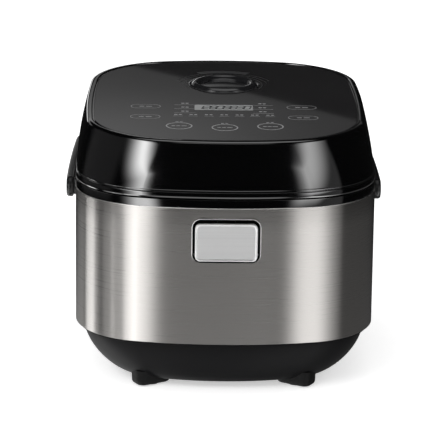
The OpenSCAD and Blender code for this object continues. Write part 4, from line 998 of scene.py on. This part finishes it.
# A box low on the right that fades outwards, and a faint card behind the object for its panel.
under = 1 - lift.rise(-20.0, -16.5)
over_edge = (lift - from_behind * 0.218 - 15.67).rise(-0.05, 0.05)
back_card = over_edge * from_behind.within(-40, 40, 2.0) * (1 - lift.rise(19.0, 21.0))
back_high = lift.rise(15.4, 17.6) * (1 - from_behind.rise(-3, 6)) * 0.2
back_left = (1 - from_behind.rise(-9, 4)) * 0.075
boxes = [
    card(-125, -66, -12, 30, 0.05, 8.0),
    low_card(-20, 17, 0.74, 2.5),
    low_card(-48, -26, 2.9, 2.5),
    low_card(-82, -50, 1.35, 3.0),
    card(-67.0, -64.0, LOW_CARD_FOOT, LOW_CARD_TOP - 2, 3.0, 0.6),
    low_card(-121, -100, 5.0, 2.5),
    low_card(-180, -126, 1.1, 3.0),
    under * turn.rise(20.5, 25) * (1 - turn.rise(34, 78)) * 3.2,
    low_card(60, 180, 0.26, 6.0),
    card(-17, 17, 26, 46, 0.5, 2.0),
    lift.rise(60.0, 70.0) * 0.8,
    card(-180, -152, 1, 9, 1.2, 2.0),
    back_card * (back_high + back_left + 0.08),
]
shade = above * (left_box + right_box) + CLOTH
for box in boxes:
    shade = shade + box
tree.links.new(shade.socket, lamp.inputs["Strength"])

DOME_R, DOME_STEPS, DOME_END = 6.0, 20, 88
lifts = [math.radians(-DOME_END + 2 * DOME_END * i / DOME_STEPS) for i in range(DOME_STEPS + 1)]
dome_points, dome_faces = skin([[(DOME_R * math.cos(e) * c, DOME_R * math.cos(e) * s, DOME_R * math.sin(e))
                                 for c, s in circle_ring(1, 48)] for e in lifts])
cards = sheet_mesh("studio_cards", dome_points, dome_faces, cards_paint)
cards.visible_camera = cards.visible_diffuse = cards.visible_transmission = False
cards.visible_volume_scatter = cards.visible_shadow = False

world = bpy.data.worlds.new("studio_world")
bpy.context.scene.world = world
world.use_nodes = True
sky = world.node_tree
path = sky.nodes.new("ShaderNodeLightPath")
seen = Value(sky, path.outputs["Is Camera Ray"])
seen = seen.math("MAXIMUM", Value(sky, path.outputs["Is Glossy Ray"]))
seen = seen.math("MAXIMUM", Value(sky, path.outputs["Is Transmission Ray"]))
SOFT_LIGHT = 0.85
sky.links.new((seen * (1.0 - SOFT_LIGHT) + SOFT_LIGHT).socket, sky.nodes["Background"].inputs["Strength"])
sky.nodes["Background"].inputs["Color"].default_value = (1, 1, 1, 1)


def placed(name, data, place, aim, roll=0.0):
    """A lamp or a camera at a place, that looks at a point and is rolled by an angle in degrees."""
    thing = bpy.data.objects.new(name, data)
    bpy.context.scene.collection.objects.link(thing)
    thing.location = place
    thing.rotation_mode = "QUATERNION"
    look = (Vector(aim) - thing.location).to_track_quat("-Z", "Y")
    thing.rotation_quaternion = look @ Quaternion((0, 0, 1), math.radians(roll))
    return thing


# Places and sizes of the lamp and places of the camera are in metres, its lens and sensor in millimetres.
KEY_PLACE, KEY_AIM = (-1.5, -1.7, 1.9), (0, 0, 0.12)
KEY_W, KEY_H, KEY_POWER = 1.6, 1.2, 26.0
key_data = bpy.data.lights.new("soft_key", "AREA")
key_data.shape, key_data.size, key_data.size_y, key_data.energy = "RECTANGLE", KEY_W, KEY_H, KEY_POWER
key = placed("soft_key", key_data, KEY_PLACE, KEY_AIM)
key.visible_glossy = False

CAMERA_PLACE, CAMERA_AIM, CAMERA_ROLL = (-0.0484, -2.6595, 0.8999), (0.0, -0.0203, 0.108), 0.76
LENS, SENSOR_W, SHIFT_X, SHIFT_Y = 230.1, 36.0, 0.0009, 0.028
camera = placed("camera", bpy.data.cameras.new("camera"), CAMERA_PLACE, CAMERA_AIM, CAMERA_ROLL)
bpy.context.scene.camera = camera
camera.data.lens, camera.data.sensor_width = LENS, SENSOR_W
camera.data.shift_x, camera.data.shift_y = SHIFT_X, SHIFT_Y
camera.data.clip_start, camera.data.clip_end = 0.1, 60.0

bpy.context.scene.view_settings.view_transform = "Standard"
